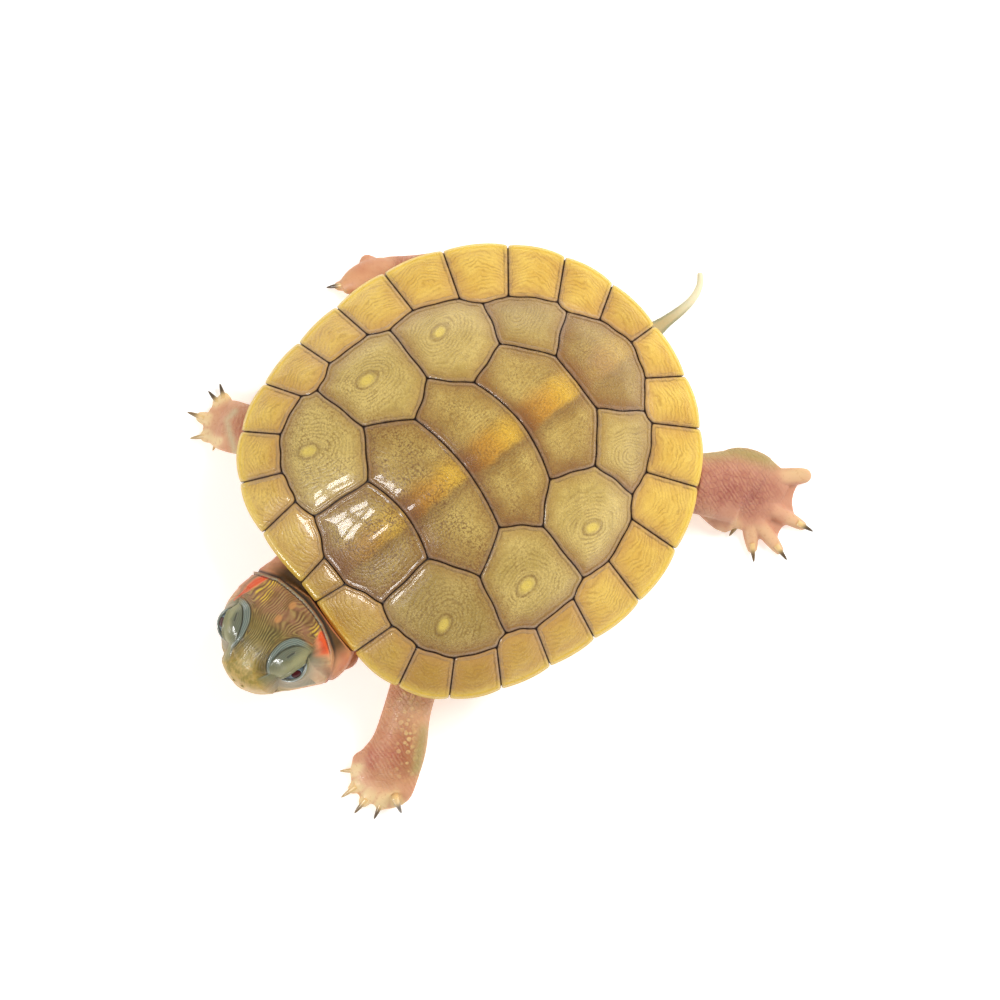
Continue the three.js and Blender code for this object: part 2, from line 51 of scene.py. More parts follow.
SHELL_HEIGHT = 15.0
RIM_THICKNESS = 0.55
KEEL_HEIGHT = 0.45
KEEL_HALF_WIDTH = 1.0
RIM_RADIUS = (16.84, 0.665, 0.453, -0.309, -0.535, -0.306, -0.166)
RIM_HEIGHT = (5.7, 1.4, 0.7)
MARGINAL_RISE = (2.6, 0.0, -0.5)
INNER_RING_RATIO = (0.791, 0.027, 0.026, -0.028, 0.015)
PLASTRON_THICKNESS = 1.7
PLASTRON_FLAT_HALF_WIDTH = 9.0
BRIDGE_CURVE = 0.28
PLASTRON_OUTLINE = (
    (0, -13.5), (3.4, -13.7), (6.6, -11.9), (8.2, -8.6), (12.1, -5.4), (12.35, -0.6),
    (11.7, 4.2), (8.3, 7.0), (7.7, 9.9), (6.0, 12.3), (2.4, 13.9), (0, 13.1))

# Where three seams meet on the left side: V vertebral, C costal, I inner end of a marginal seam.
JUNCTIONS = {
    "V1C1": (4.1, -12.8), "V1V2C1": (3.6, -8.18), "C1C2V2": (6.96, -5.97), "V2V3C2": (5.0, -2.7),
    "C2C3V3": (6.9, -0.08), "V3V4C3": (4.5, 2.4), "C3C4V4": (5.7, 5.8), "V4V5C4": (2.45, 8.5),
    "V5C4": (4.75, 11.55), "C1C2": (11.4, -6.9), "C2C3": (11.7, 0.15), "C3C4": (9.1, 6.97),
    "F1": (0, -14.02), "F2": (0, -7.5), "F3": (0, -2.04), "F4": (0, 3.21), "F5": (0, 8.47),
    "I0": (1.25, -14.06), "I1": (5.83, -13.22), "I2": (8.14, -12.7), "I3": (10.51, -11.03),
    "I4": (11.82, -8.07), "I5": (12.5, -4.9), "I6": (12.47, -1.33), "I7": (11.87, 2.5),
    "I8": (10.47, 5.83), "I9": (8.4, 8.87), "I10": (5.76, 11.5), "I11": (2.77, 13.17),
    "I12": (0, 14.05)}
OUTER_ANGLES = (3.1, 18.7, 31.6, 43.9, 56.5, 69.9, 83.7, 99.7, 116.9, 134.5, 150, 164.4, 180)
COSTALS = [row.split() for row in (
    "V1C1 I1 I2 I3 I4 C1C2 C1C2V2 V1V2C1", "C1C2V2 C1C2 I5 I6 C2C3 C2C3V3 V2V3C2",
    "C2C3V3 C2C3 I7 I8 C3C4 C3C4V4 V3V4C3", "C3C4V4 C3C4 I9 I10 V5C4 V4V5C4")]
VERTEBRALS = [row.split() for row in (
    "F1 I0 V1C1 V1V2C1 F2", "F2 V1V2C1 C1C2V2 V2V3C2 F3", "F3 V2V3C2 C2C3V3 V3V4C3 F4",
    "F4 V3V4C3 C3C4V4 V4V5C4 F5", "F5 V4V5C4 V5C4 I11 I12")]
MARGINAL_EXTRA = {1: "V1C1", 5: "C1C2", 7: "C2C3", 9: "C3C4", 11: "V5C4"}
# The pale spot that the rings of a costal run round, on the left side.
COSTAL_SPOTS = ((8.1, -10.2), (9.6, -3.6), (9.2, 2.9), (6.9, 8.6))
VERTEBRAL_SPOTS = (-10.6, -5.0, 0.9, 6.0, 11.4)

HEAD_CENTRE = (1.13, -22.02, 6.7)
HEAD_YAW = math.radians(16.5)
HEAD_ROLL = math.radians(12)
HEAD_LIFT = math.radians(5)
# Stations from nape to snout: forward, left half width, right half width, top, bottom.
HEAD_STATIONS = (
    (-5.2, 4.9, 3.55, 1.2, -3.4), (-4.0, 5.65, 4.1, 1.75, -3.75), (-2.6, 5.9, 4.4, 2.05, -3.9),
    (-1.2, 5.45, 4.3, 2.1, -3.9), (0, 4.4, 3.75, 1.85, -3.75), (1.1, 3.35, 3.15, 1.35, -3.4),
    (2.1, 2.35, 2.35, 0.75, -2.95), (2.75, 1.45, 1.45, 0.1, -2.5), (3.1, 0.35, 0.35, -0.85, -1.5))
EYE_RADIUS = 1.3
EYE_PLACE = (2.6, -0.5, 0.15)
MOUTH_HEIGHT = -1.75
NECK = (
    (2.0, -20.3, 4.6, 3.8, 2.0), (1.65, -19.4, 4.9, 4.95, 2.9), (1.25, -18.2, 4.9, 5.15, 2.8),
    (0.9, -16.6, 4.7, 4.75, 2.5), (0.5, -14.6, 4.5, 4.4, 2.4), (0.2, -12.0, 4.5, 4.1, 2.3))
TAIL = (
    (0.2, 12.4, 3.2, 1.4, 1.3), (0.2, 14.6, 3.0, 1.1, 1.0), (0.2, 17.3, 2.4, 0.54, 0.54),
    (0.22, 18.9, 2.0, 0.41, 0.41), (0.15, 20.0, 1.7, 0.34, 0.34), (-0.1, 20.95, 1.45, 0.3, 0.3),
    (-0.55, 21.7, 1.25, 0.27, 0.27), (-1.2, 22.23, 1.1, 0.23, 0.23))
LIMBS = {
    "front_left": dict(
        leg=((8.0, -11.3, 3.8, 1.7, 1.7), (9.6, -13.6, 3.6, 1.8, 1.7), (11.4, -16.1, 3.1, 1.8, 1.6),
             (13.1, -18.2, 2.3, 2.1, 1.4), (13.9, -19.7, 1.6, 2.4, 1.15)),
        sole=((14.3, -20.9, 1.0, 2.7, 0.85), (14.5, -22.0, 0.7, 2.2, 0.6), (14.6, -22.7, 0.5, 1.5, 0.4)),
        toes=((11.96, -23.08), (13.62, -24.21), (15.19, -24.16), (16.45, -23.25), (17.39, -21.34)),
        spread=1.9, clawless=None, webbing=(0.99, 0.93), pad=(),
        claw_darkness=(0.1, 0.15, 0.55, 0.8, 1.0), claw_lift=(0, 0, 0, 0, 1.25)),
    "front_right": dict(
        leg=((-8.6, -10.6, 3.8, 1.7, 1.7), (-10.6, -11.7, 3.4, 1.8, 1.6), (-12.4, -12.5, 2.7, 1.9, 1.5),
             (-13.6, -13.3, 1.8, 2.0, 1.2)),
        sole=((-14.4, -13.8, 1.0, 1.95, 0.85), (-15.1, -14.2, 0.7, 1.55, 0.6), (-15.6, -14.5, 0.5, 1.1, 0.4)),
        toes=((-13.39, -15.75), (-15.2, -16.55), (-16.93, -15.48), (-17.23, -13.22), (-17.15, -12.17)),
        spread=1.6, clawless=None, webbing=(0.9, 0.72), pad=(),
        claw_darkness=(0.0, 0.2, 0.5, 1.0, 1.0), claw_lift=(0, 0, 0, 0, 0)),
    "hind_left": dict(
        leg=((7.8, 8.4, 3.6, 1.9, 1.7), (9.7, 10.0, 3.2, 2.1, 1.6), (11.5, 11.9, 2.7, 2.35, 1.5),
             (12.8, 13.4, 2.0, 2.7, 1.35), (13.65, 14.45, 1.6, 3.0, 1.15)),
        sole=((14.8, 15.0, 1.0, 3.0, 0.85), (15.9, 15.6, 0.7, 2.6, 0.6), (16.6, 15.9, 0.5, 1.9, 0.4)),
        toes=((16.14, 11.54), (18.88, 11.8), (20.32, 13.9), (19.83, 16.85), (16.34, 19.4)),
        spread=2.6, clawless=4, webbing=(0.95, 0.8),
        pad=((11.6, 11.7, 2.2, 1.3, 1.2), (13.5, 12.0, 1.4, 1.4, 1.05), (15.0, 11.95, 0.9, 1.05, 0.75),
             (15.75, 11.85, 0.6, 0.55, 0.45)),
        claw_darkness=(0.5, 0.7, 0.9, 1.0, 0.0), claw_lift=(0.35, 0, 0, 0, 0)),
    "hind_right": dict(
        leg=((-5.6, 8.4, 4.2, 1.5, 1.4), (-8.2, 8.8, 3.6, 1.9, 1.7), (-10.6, 7.8, 3.2, 2.0, 1.6),
             (-12.7, 6.2, 2.5, 2.1, 1.45), (-14.0, 4.4, 1.8, 2.1, 1.2)),
        sole=((-14.7, 2.9, 1.0, 2.5, 0.85), (-15.2, 1.7, 0.7, 2.2, 0.6), (-15.5, 1.0, 0.5, 1.6, 0.4)),
        toes=((-12.2, -1.2), (-14.1, -2.4), (-15.8, -2.3), (-18.0, -1.16), (-18.1, 2.3)),
        spread=2.0, clawless=4, webbing=(0.95, 0.86),
        pad=((-14.4, 3.8, 1.6, 1.5, 1.1), (-16.1, 2.6, 1.1, 1.45, 0.9), (-16.9, 1.0, 0.8, 1.15, 0.7),
             (-17.2, -0.2, 0.55, 0.55, 0.45)),
        claw_darkness=(0.7, 0.8, 0.9, 1.0, 0.0), claw_lift=(0, 0, 0, 0, 0)),
}
CLAW_LENGTH = 0.95

# ---- small helpers ---------------------------------------------------------


def smoothstep(low, high, value):
    share = np.clip((value - low) / (high - low), 0.0, 1.0)
    return share * share * (3.0 - 2.0 * share)


def bell(value, width):
    return np.exp(-(value / width) ** 2)


def lengths(rows):
    return np.linalg.norm(rows, axis=1)


def cosine_series(terms, angle):
    return sum(term * np.cos(order * angle) for order, term in enumerate(terms))


def value_noise(points, scale, seed):
    """Smooth noise in -1..1 over rows of points, the same on every run."""
    grid = np.asarray(points, dtype=float) * scale + 1000.0
    cell = np.floor(grid).astype(np.int64)
    part = grid - cell
    part = part * part * (3.0 - 2.0 * part)
    total = np.zeros(len(grid))
    for corner in range(2 ** grid.shape[1]):
        weight = np.ones(len(grid))
        key = np.full(len(grid), seed * 7919 + 17, dtype=np.int64)
        for axis in range(grid.shape[1]):
            bit = (corner >> axis) & 1
            weight *= part[:, axis] if bit else 1.0 - part[:, axis]
            key = (key * 374761393 + (cell[:, axis] + bit) * 668265263) & 0x7FFFFFFF
            key = ((key ^ (key >> 13)) * 1274126177) & 0x7FFFFFFF
        total += weight * (((key ^ (key >> 16)) & 0xFFFF) / 32767.5 - 1.0)
    return total


def path_distance(points, line):
    """Distance of each row of points to an open polyline."""
    line = np.asarray(line, dtype=float)
    best = np.full(len(points), np.inf)
    for start, end in zip(line, line[1:]):
        along = end - start
        share = np.clip((points - start) @ along / (along @ along), 0.0, 1.0)
        gap = points - start - share[:, None] * along
        best = np.minimum(best, np.einsum("ij,ij->i", gap, gap))
    return np.sqrt(best)


def outline_distance(points, outline):
    return path_distance(points, np.vstack([outline, outline[:1]]))


def spline(rows, count):
    """Catmull-Rom through rows of numbers, resampled evenly in the parameter."""
    rows = np.asarray(rows, dtype=float)
    padded = np.vstack([2 * rows[0] - rows[1], rows, 2 * rows[-1] - rows[-2]])
    place = np.linspace(0, len(rows) - 1, count)
    index = np.minimum(place.astype(int), len(rows) - 2)
    t = (place - index)[:, None]
    a, b, c, d = (padded[index + k] for k in range(4))
    return 0.5 * (2 * b + (c - a) * t + (2 * a - 5 * b + 4 * c - d) * t ** 2
                  + (3 * b - a - 3 * c + d) * t ** 3)


def circle(count):
    """Bearings round a full turn, and the unit steps from the head end that they stand for."""
    turn = np.linspace(-math.pi, math.pi, count, endpoint=False)
    return turn, np.stack([np.sin(turn), -np.cos(turn)], axis=1)


def link_to_scene(name, data):
    thing = bpy.data.objects.new(name, data)
    bpy.context.scene.collection.objects.link(thing)
    return thing


def add_mesh(name, points_mm, faces, material=None, **attributes):
    """A mesh object from points in millimetres and arrays of triangles or quads."""
    mesh = bpy.data.meshes.new(name)
    points = np.asarray(points_mm, dtype=np.float32) * MM
    loops = np.concatenate([np.asarray(block).ravel() for block in faces]).astype(np.int32)
    sizes = np.concatenate([np.full(len(block), np.asarray(block).shape[1]) for block in faces])
    starts = np.concatenate([[0], np.cumsum(sizes)[:-1]]).astype(np.int32)
    mesh.vertices.add(len(points))
    mesh.vertices.foreach_set("co", points.ravel())
    mesh.loops.add(len(loops))
    mesh.loops.foreach_set("vertex_index", loops)
    mesh.polygons.add(len(sizes))
    mesh.polygons.foreach_set("loop_start", starts)
    finish_mesh(mesh, material, attributes)
    mesh.validate()
    return link_to_scene(name, mesh)


def finish_mesh(mesh, material, attributes):
    """Smooth shading, edges where there are none yet, named values and a material."""
    mesh.polygons.foreach_set("use_smooth", np.ones(len(mesh.polygons), dtype=bool))
    mesh.update(calc_edges=not len(mesh.edges))
    for name, values in attributes.items():
        layer = mesh.attributes.new(name, "FLOAT", "POINT")
        layer.data.foreach_set("value", np.asarray(values, dtype=np.float32))
    if material:
        mesh.materials.append(material)


def hand_over(piece, slot, *nodes):
    """Rides a piece on the body, in place of its nodes."""
    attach(piece, "root")
    if nodes:
        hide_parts(*nodes)


def grid_faces(rows, columns, offset=0):
    """Quads between consecutive rows of a grid whose rows close on themselves."""
    row, column = np.meshgrid(np.arange(rows - 1), np.arange(columns), indexing="ij")
    here = offset + row * columns + column
    beside = offset + row * columns + (column + 1) % columns
    return np.stack([here, beside, beside + columns, here + columns], axis=-1).reshape(-1, 4)


def fan_faces(columns, first, middle):
    """Triangles from a closed row of points, which starts at first, to one middle point."""
    column = np.arange(columns)
    beside = (column + 1) % columns
    return np.stack([first + column, first + beside, np.full(columns, middle)], axis=1)


def closed_tube(rings):
    """Points and faces of a tube through rings, with its ends closed on their middles."""
    rows, sides = rings.shape[:2]
    points = np.vstack([rings.reshape(-1, 3), rings[0].mean(axis=0), rings[-1].mean(axis=0)])
    first_end = fan_faces(sides, 0, rows * sides)[:, (1, 0, 2)]
    last_end = fan_faces(sides, (rows - 1) * sides, rows * sides + 1)
    return points, [grid_faces(rows, sides), first_end, last_end]


def turned(faces):
    return [block[:, ::-1] for block in faces]


# ---- materials -------------------------------------------------------------


def linear(colour):
    """A colour in 0..255 to what a shader socket holds."""
    shares = [value / 255.0 for value in colour]
    return (*(s / 12.92 if s <= 0.04045 else ((s + 0.055) / 1.055) ** 2.4 for s in shares), 1.0)


class Field:
    """A number that varies over a surface; arithmetic on it adds nodes to its finish."""

    def __init__(self, finish, socket):
        self.finish = finish
        self.socket = socket

    def __add__(self, other):
        return self.finish.math("ADD", self, other)

    def __sub__(self, other):
        return self.finish.math("SUBTRACT", self, other)

    def __rsub__(self, other):
        return self.finish.math("SUBTRACT", other, self)

    def __mul__(self, other):
        return self.finish.math("MULTIPLY", self, other)

    def maximum(self, other):
        return self.finish.math("MAXIMUM", self, other)

    def ramp(self, low, high, to_low=0.0, to_high=1.0):
        """Smooth change from to_low to to_high as the number goes from low to high."""
        node = self.finish.node("ShaderNodeMapRange", interpolation_type="SMOOTHSTEP")
        return self.finish.fed(node, self, low, high, to_low, to_high)

    def band(self, middle, width):
        """1 at middle, falling to 0 a width away on either side."""
        return self.finish.math("ABSOLUTE", self - middle).ramp(0.0, width, 1.0, 0.0)

    def waves(self, spacing, sharpness):
        """Lines in 0..1 along equal values, spaced evenly."""
        wave = self.finish.math("SINE", self * (2.0 * math.pi / spacing)) * 0.5 + 0.5
        return self.finish.math("POWER", wave, sharpness)


class Finish:
    """A Principled material with short ways to add nodes; colour is what is laid on so far."""

    def __init__(self, name, **sockets):
        self.material = bpy.data.materials.new(name)
        self.material.use_nodes = True
        self.tree = self.material.node_tree
        self.shader = self.tree.nodes["Principled BSDF"]
        for socket, value in sockets.items():
            self.shader.inputs[socket.replace("_", " ")].default_value = value
        scale = self.node("ShaderNodeVectorMath", operation="SCALE")
        self.feed(scale.inputs[0], self.node("ShaderNodeTexCoord").outputs["Object"])
        scale.inputs["Scale"].default_value = 1.0 / MM
        self.place = scale.outputs[0]
        self.colour = None

    def node(self, kind, **settings):
        node = self.tree.nodes.new(kind)
        for name, value in settings.items():
            setattr(node, name, value)
        return node

    def feed(self, socket, value):
        """Links a field or an output to a socket, or sets a number or a colour on it."""
        if isinstance(value, Field):
            value = value.socket
        if isinstance(value, bpy.types.NodeSocket):
            self.tree.links.new(value, socket)
        else:
            socket.default_value = linear(value) if isinstance(value, tuple) else value

    def fed(self, node, *values):
        for socket, value in zip(node.inputs, values):
            self.feed(socket, value)
        return Field(self, node.outputs[0])

    def math(self, operation, *values):
        return self.fed(self.node("ShaderNodeMath", operation=operation), *values)

    def attribute(self, name):
        return Field(self, self.node("ShaderNodeAttribute", attribute_name=name).outputs["Fac"])

    def attributes(self, names):
        return SimpleNamespace(**{name: self.attribute(name) for name in names.split()})

    def axis(self, name):
        node = self.node("ShaderNodeSeparateXYZ")
        self.feed(node.inputs[0], self.place)
        return Field(self, node.outputs[name])

    def noise(self, scale, detail=3.0):
        node = self.node("ShaderNodeTexNoise")
        for name, value in (("Vector", self.place), ("Scale", scale), ("Detail", detail)):
            self.feed(node.inputs[name], value)
        return Field(self, node.outputs["Fac"])

    def cells(self, scale, feature="F1", stretch=(1.0, 1.0, 1.0)):
        place = self.node("ShaderNodeVectorMath", operation="MULTIPLY")
        self.feed(place.inputs[0], self.place)
        place.inputs[1].default_value = stretch
        node = self.node("ShaderNodeTexVoronoi", feature=feature)
        self.feed(node.inputs["Vector"], place.outputs[0])
        node.inputs["Scale"].default_value = scale
        return Field(self, node.outputs["Distance"])

    def mix(self, share, first, second):
        node = self.node("ShaderNodeMix", data_type="RGBA")
        for index, value in ((0, share), (6, first), (7, second)):
            self.feed(node.inputs[index], value)
        return node.outputs[2]

    def over(self, share, tone):
        self.colour = self.mix(share, self.colour, tone)

    def bump(self, height, strength, distance_mm):
        node = self.node("ShaderNodeBump")
        node.inputs["Strength"].default_value = strength
        node.inputs["Distance"].default_value = distance_mm * MM
        self.feed(node.inputs["Height"], height)
        self.feed(self.shader.inputs["Normal"], node.outputs["Normal"])

    def done(self):
        self.feed(self.shader.inputs["Base Color"], self.colour)
        return self.material


def plate_finish(name, base, pale, dark, edge_brown_and_shade, ring_contrast, grain, keel=False, marginal=False):
    """Horn of a shell plate: rings, grains, growth border, and the dark seam round it."""
    finish = Finish(name, Roughness=0.4, Coat_Weight=0.4, Coat_Roughness=0.07, IOR=1.42)
    mark = finish.attributes("edge ring rim shade spot spot_ring along ringed keel tint")
    warp, fine_warp = finish.noise(0.5, 2.0) - 0.5, finish.noise(1.7) - 0.5
    ring = warp * (1.1 if marginal else 0.8) + mark.ring
    ring = fine_warp * (0.5 if marginal else 0.26) + ring
    lines = ring.waves(0.29, 2.2)
    finish.colour = finish.mix(finish.noise(0.35).ramp(0.35, 0.65), base, pale)
    finish.over(ring.waves(0.81, 1.2) * (ring_contrast * 0.7), pale)
    finish.over(mark.tint.maximum(0.0), dark)
    finish.over((mark.tint * -1.0).maximum(0.0), pale)
    if keel:
        wander = fine_warp * 0.3 + (warp * 0.9 + finish.axis("X"))
        # Painted shade: a brown strip on the keel's shaded side, beside the stripe.
        finish.over(wander.band(1.1, 1.1) * mark.keel * 0.55, (132, 92, 46))
        # The keel's amber stripe: partly its own colour, partly a painted highlight on the ridge's lit side,
        # brighter towards the rear.
        amber_and_highlight = finish.mix(mark.along.ramp(0.08, 0.55), (140, 80, 30), (204, 146, 46))
        amber_and_highlight = finish.mix(mark.along.ramp(0.45, 0.9), amber_and_highlight, (232, 186, 62))
        stripe = wander.ramp(-1.9, -0.35) * wander.ramp(0.6, 1.15, 1.0, 0.0)
        finish.over(stripe * mark.keel * 0.9, amber_and_highlight)
    # Grains: pale tops and dark gaps, drawn out a little across the plate.
    grains = finish.cells(6.6, stretch=(1.0, 1.0, 0.8))
    tops = grains.ramp(0.1, 0.42, 1.0, 0.0)
    grain_share = finish.noise(0.7, 2.0).ramp(0.3, 0.7, 0.45, 1.0)
    grain_share = grain_share * finish.axis("Y").ramp(-12.0, 5.0, 1.1 * grain, 0.5 * grain)
    finish.over(tops * grain_share * 0.5, pale)
    finish.over(grains.ramp(0.5, 0.72) * grain_share * 0.75, dark)
    finish.over(finish.noise(5.4).ramp(0.53, 0.66) * grain_share * 0.75, dark)
    line_share = lines * finish.noise(1.1, 2.0).ramp(0.35, 0.65, 0.25, 1.0) * mark.ringed
    finish.over(line_share * ring_contrast, dark)
    finish.over(mark.spot_ring * 0.5, dark)
    finish.over(mark.spot * 0.8, (226, 198, 88))
    # Painted shade, partly brown horn: each plate darkens towards one side.
    finish.over(mark.shade * finish.noise(1.2, 2.0).ramp(0.25, 0.7, 0.55, 1.0), edge_brown_and_shade)
    # Painted shade, partly brown horn, towards each plate's edge all round; then the border that new growth
    # leaves inside the seam, and the seam itself.
    wavy_edge = fine_warp * 0.3 + mark.edge
    finish.over(wavy_edge.ramp(0.2, 1.3, 0.42, 0.0), edge_brown_and_shade)
    border = wavy_edge.ramp(0.1, 0.34, 1.0, 0.0) * finish.noise(1.6, 2.0).ramp(0.3, 0.7, 0.2, 0.62)
    finish.over(border, (156, 124, 98))
    groove = wavy_edge.band(0.27, 0.09) * finish.noise(1.1, 2.0).ramp(0.35, 0.65, 0.1, 0.5)
    finish.over(groove, (104, 74, 50))
    if marginal:
        glow = (fine_warp * 0.5 + mark.rim).ramp(0.15, 0.95, 1.0, 0.0)
        finish.over(glow * 0.6, (240, 204, 84))
    finish.over((fine_warp * 0.09 + mark.edge).ramp(0.0, 0.075, 1.0, 0.0) * 0.85, (76, 52, 38))
    relief = (finish.noise(6.5) * 0.9 + tops * 0.9) * grain
    finish.bump(lines * -0.22 + relief, 0.8, 0.06)
    finish.feed(finish.shader.inputs["Roughness"], finish.noise(1.4).ramp(0.3, 0.75, 0.26, 0.5))
    return finish.done()


# ---- surfaces of the shell -------------------------------------------------


def shell_angle(x, y):
    return np.arctan2(np.abs(x), -y)


def rim_point(degrees, bulge=0.0):
    angle = np.radians(degrees)
    radius = cosine_series(RIM_RADIUS, angle) + bulge
    return np.stack([radius * np.sin(angle), -radius * np.cos(angle)], axis=-1)


def keel(x, y):
    along = np.clip((y + 14) / 4, 0, 1) * np.clip((13 - y) / 4, 0, 1)
    return KEEL_HEIGHT * along * bell(x, KEEL_HALF_WIDTH)


def dome_height(x, y):
    angle = shell_angle(x, y)
    reach = np.hypot(x, y) / cosine_series(RIM_RADIUS, angle)
    ring = cosine_series(INNER_RING_RATIO, angle)
    rim = cosine_series(RIM_HEIGHT, angle)
    rise = cosine_series(MARGINAL_RISE, angle)
    skirt = rise * np.clip((1 - reach) / (1 - ring), 0, 1)
    crown = (SHELL_HEIGHT - KEEL_HEIGHT - rim - rise) * np.clip(1 - (reach / ring) ** 2, 0, None)
    return rim + skirt + crown + keel(x, y)


def marginal_underside(x, y):
    angle = shell_angle(x, y)
    inward = np.clip(cosine_series(RIM_RADIUS, angle) - np.hypot(x, y), 0, None)
    bridge = np.clip(np.sin(angle), 0, None) ** 4
    return cosine_series(RIM_HEIGHT, angle) - RIM_THICKNESS - inward * (0.38 * bridge - 0.08)


def plastron_underside(x):
    return BRIDGE_CURVE * np.clip(np.abs(x) - PLASTRON_FLAT_HALF_WIDTH, 0, None) ** 2


# ---- shell plates ----------------------------------------------------------

SEAM_STEP = 0.15
SEAM_HALF_GAP = 0.03
PLATE_DEPTH = 0.62
EDGE_STEPS = (0.0, 0.035, 0.075, 0.12, 0.17, 0.23, 0.3, 0.38, 0.47, 0.58)
INNER_ROWS = 26
SKIRT_DEPTHS = (0.25, 0.6, 1.0)
UNDERSIDE_SHARES = (0.8, 0.6, 0.4, 0.2)
RIM_ROUNDING = 0.3
NO_RIM = 9.0


def junction(name):
    return np.array(JUNCTIONS[name], float)


def straight(start, end):
    """Points of a straight line, without the last one."""
    steps = max(3, int(np.linalg.norm(end - start) / SEAM_STEP))
    return start + np.linspace(0, 1, steps + 1)[:-1, None] * (end - start)


def seam(first, second):
    """Points of the seam between two junctions, without the last one."""
    if first > second:
        return seam_line(second, first)[::-1][:-1]
    return seam_line(first, second)[:-1]


def seam_line(first, second):
    """A seam that runs as an arc to the midline, and as a slight wave elsewhere."""
    start, end = junction(first), junction(second)
    count = max(3, int(np.linalg.norm(end - start) / SEAM_STEP))
    share = np.linspace(0, 1, count + 1)[:, None]
    line = start + share * (end - start)
    if "F" in (first[0], second[0]):
        middle, side = (start, end) if start[0] == 0 else (end, start)
        line[:, 1] = middle[1] + (side[1] - middle[1]) * (line[:, 0] / side[0]) ** 2
        return line
    across = np.array([start[1] - end[1], end[0] - start[0]]) / np.linalg.norm(end - start)
    wave = 0.10 * np.sin(math.pi * share) * math.sin(7.0 * (start[0] + end[1]))
    wave = wave + 0.05 * np.sin(3 * math.pi * share) * math.cos(5.0 * (start[1] - end[0]))
    return line + wave * across


def marginal_outline(number):
    """A marginal's outline on the left side, and its points along the rim."""
    first, last = OUTER_ANGLES[number - 1], OUTER_ANGLES[number]
    share = np.linspace(0, 1, 34)
    bulge = 0.16 * np.sin(math.pi * share) ** 0.6 * (1 + 0.35 * (share - 0.5)) - 0.07
    rim = rim_point(first + share * (last - first), bulge)
    corners = [f"I{number}", f"I{number - 1}"]
    if number in MARGINAL_EXTRA:
        corners.insert(1, MARGINAL_EXTRA[number])
    inner = [seam(a, b) for a, b in zip(corners, corners[1:])]
    sides = straight(rim[-1], junction(corners[0]))[1:], straight(junction(corners[-1]), rim[0])
    return np.vstack([rim, sides[0], *inner, sides[1]]), rim


def seam_outline(corners):
    return np.vstack([seam(a, b) for a, b in zip(corners, corners[1:] + corners[:1])])


def middle_outline(corners):
    """A plate on the midline: its left half from front to back, then the right half."""
    seams = [seam(a, b) for a, b in zip(corners, corners[1:])]
    left = np.vstack([*seams, [junction(corners[-1])]])
    return np.vstack([left, as_placed(left[1:-1], -1)])


def as_placed(outline, side):
    """Mirrors a left outline to the right side, keeping it anticlockwise."""
    return outline if side > 0 else outline[::-1] * (-1, 1)


def inset_outline(outline, distance):
    """Moves an anticlockwise outline inward, with its corners rounded a little."""
    step = np.roll(outline, -1, axis=0) - np.roll(outline, 1, axis=0)
    inward = np.stack([-step[:, 1], step[:, 0]], axis=-1)
    inward /= lengths(inward)[:, None]
    moved = outline + distance * inward
    for _ in range(2):
        moved = 0.25 * np.roll(moved, 1, axis=0) + 0.5 * moved + 0.25 * np.roll(moved, -1, axis=0)
    return moved


def plate_relief(edge):
    """Height of a plate over the dome, by distance from its edge."""
    crown = 0.12 * smoothstep(0.0, 1.5, edge)
    groove = -0.11 * bell(edge, 0.08)
    border = -0.045 * bell(edge - 0.33, 0.07) + 0.02 * bell(edge - 0.2, 0.07)
    return crown + groove + border


def plate_underside(x, y):
    return dome_height(x, y) - PLATE_DEPTH


def plate_body(top, edge_line, centre, underside, columns):
    """Points and faces of a plate: rows from its edge to its centre, then skirt and underside."""
    bottom, level = underside(*edge_line.T), top[:columns, 2]
    skirts = [np.column_stack([edge_line, level + depth * (bottom - level)])
              for depth in SKIRT_DEPTHS]
    inner = [centre + scale * (edge_line - centre) for scale in UNDERSIDE_SHARES]
    under = [np.column_stack([row, underside(*row.T)]) for row in inner]
    points = np.vstack([top, *skirts, *under, [[*centre, underside(*centre[:, None])[0]]]])
    rows, lower_rows = len(top) // columns, len(skirts) + len(under)
    column, first_skirt = np.arange(columns), len(top)
    beside = (column + 1) % columns
    join = np.stack([column, first_skirt + column, first_skirt + beside, beside], axis=1)
    lower_fan = fan_faces(columns, first_skirt + (lower_rows - 1) * columns, len(points) - 1)
    return points, inner, [
        grid_faces(rows, columns), fan_faces(columns, (rows - 1) * columns, rows * columns), join,
        grid_faces(lower_rows, columns, first_skirt)[:, ::-1], lower_fan[:, (1, 0, 2)]]


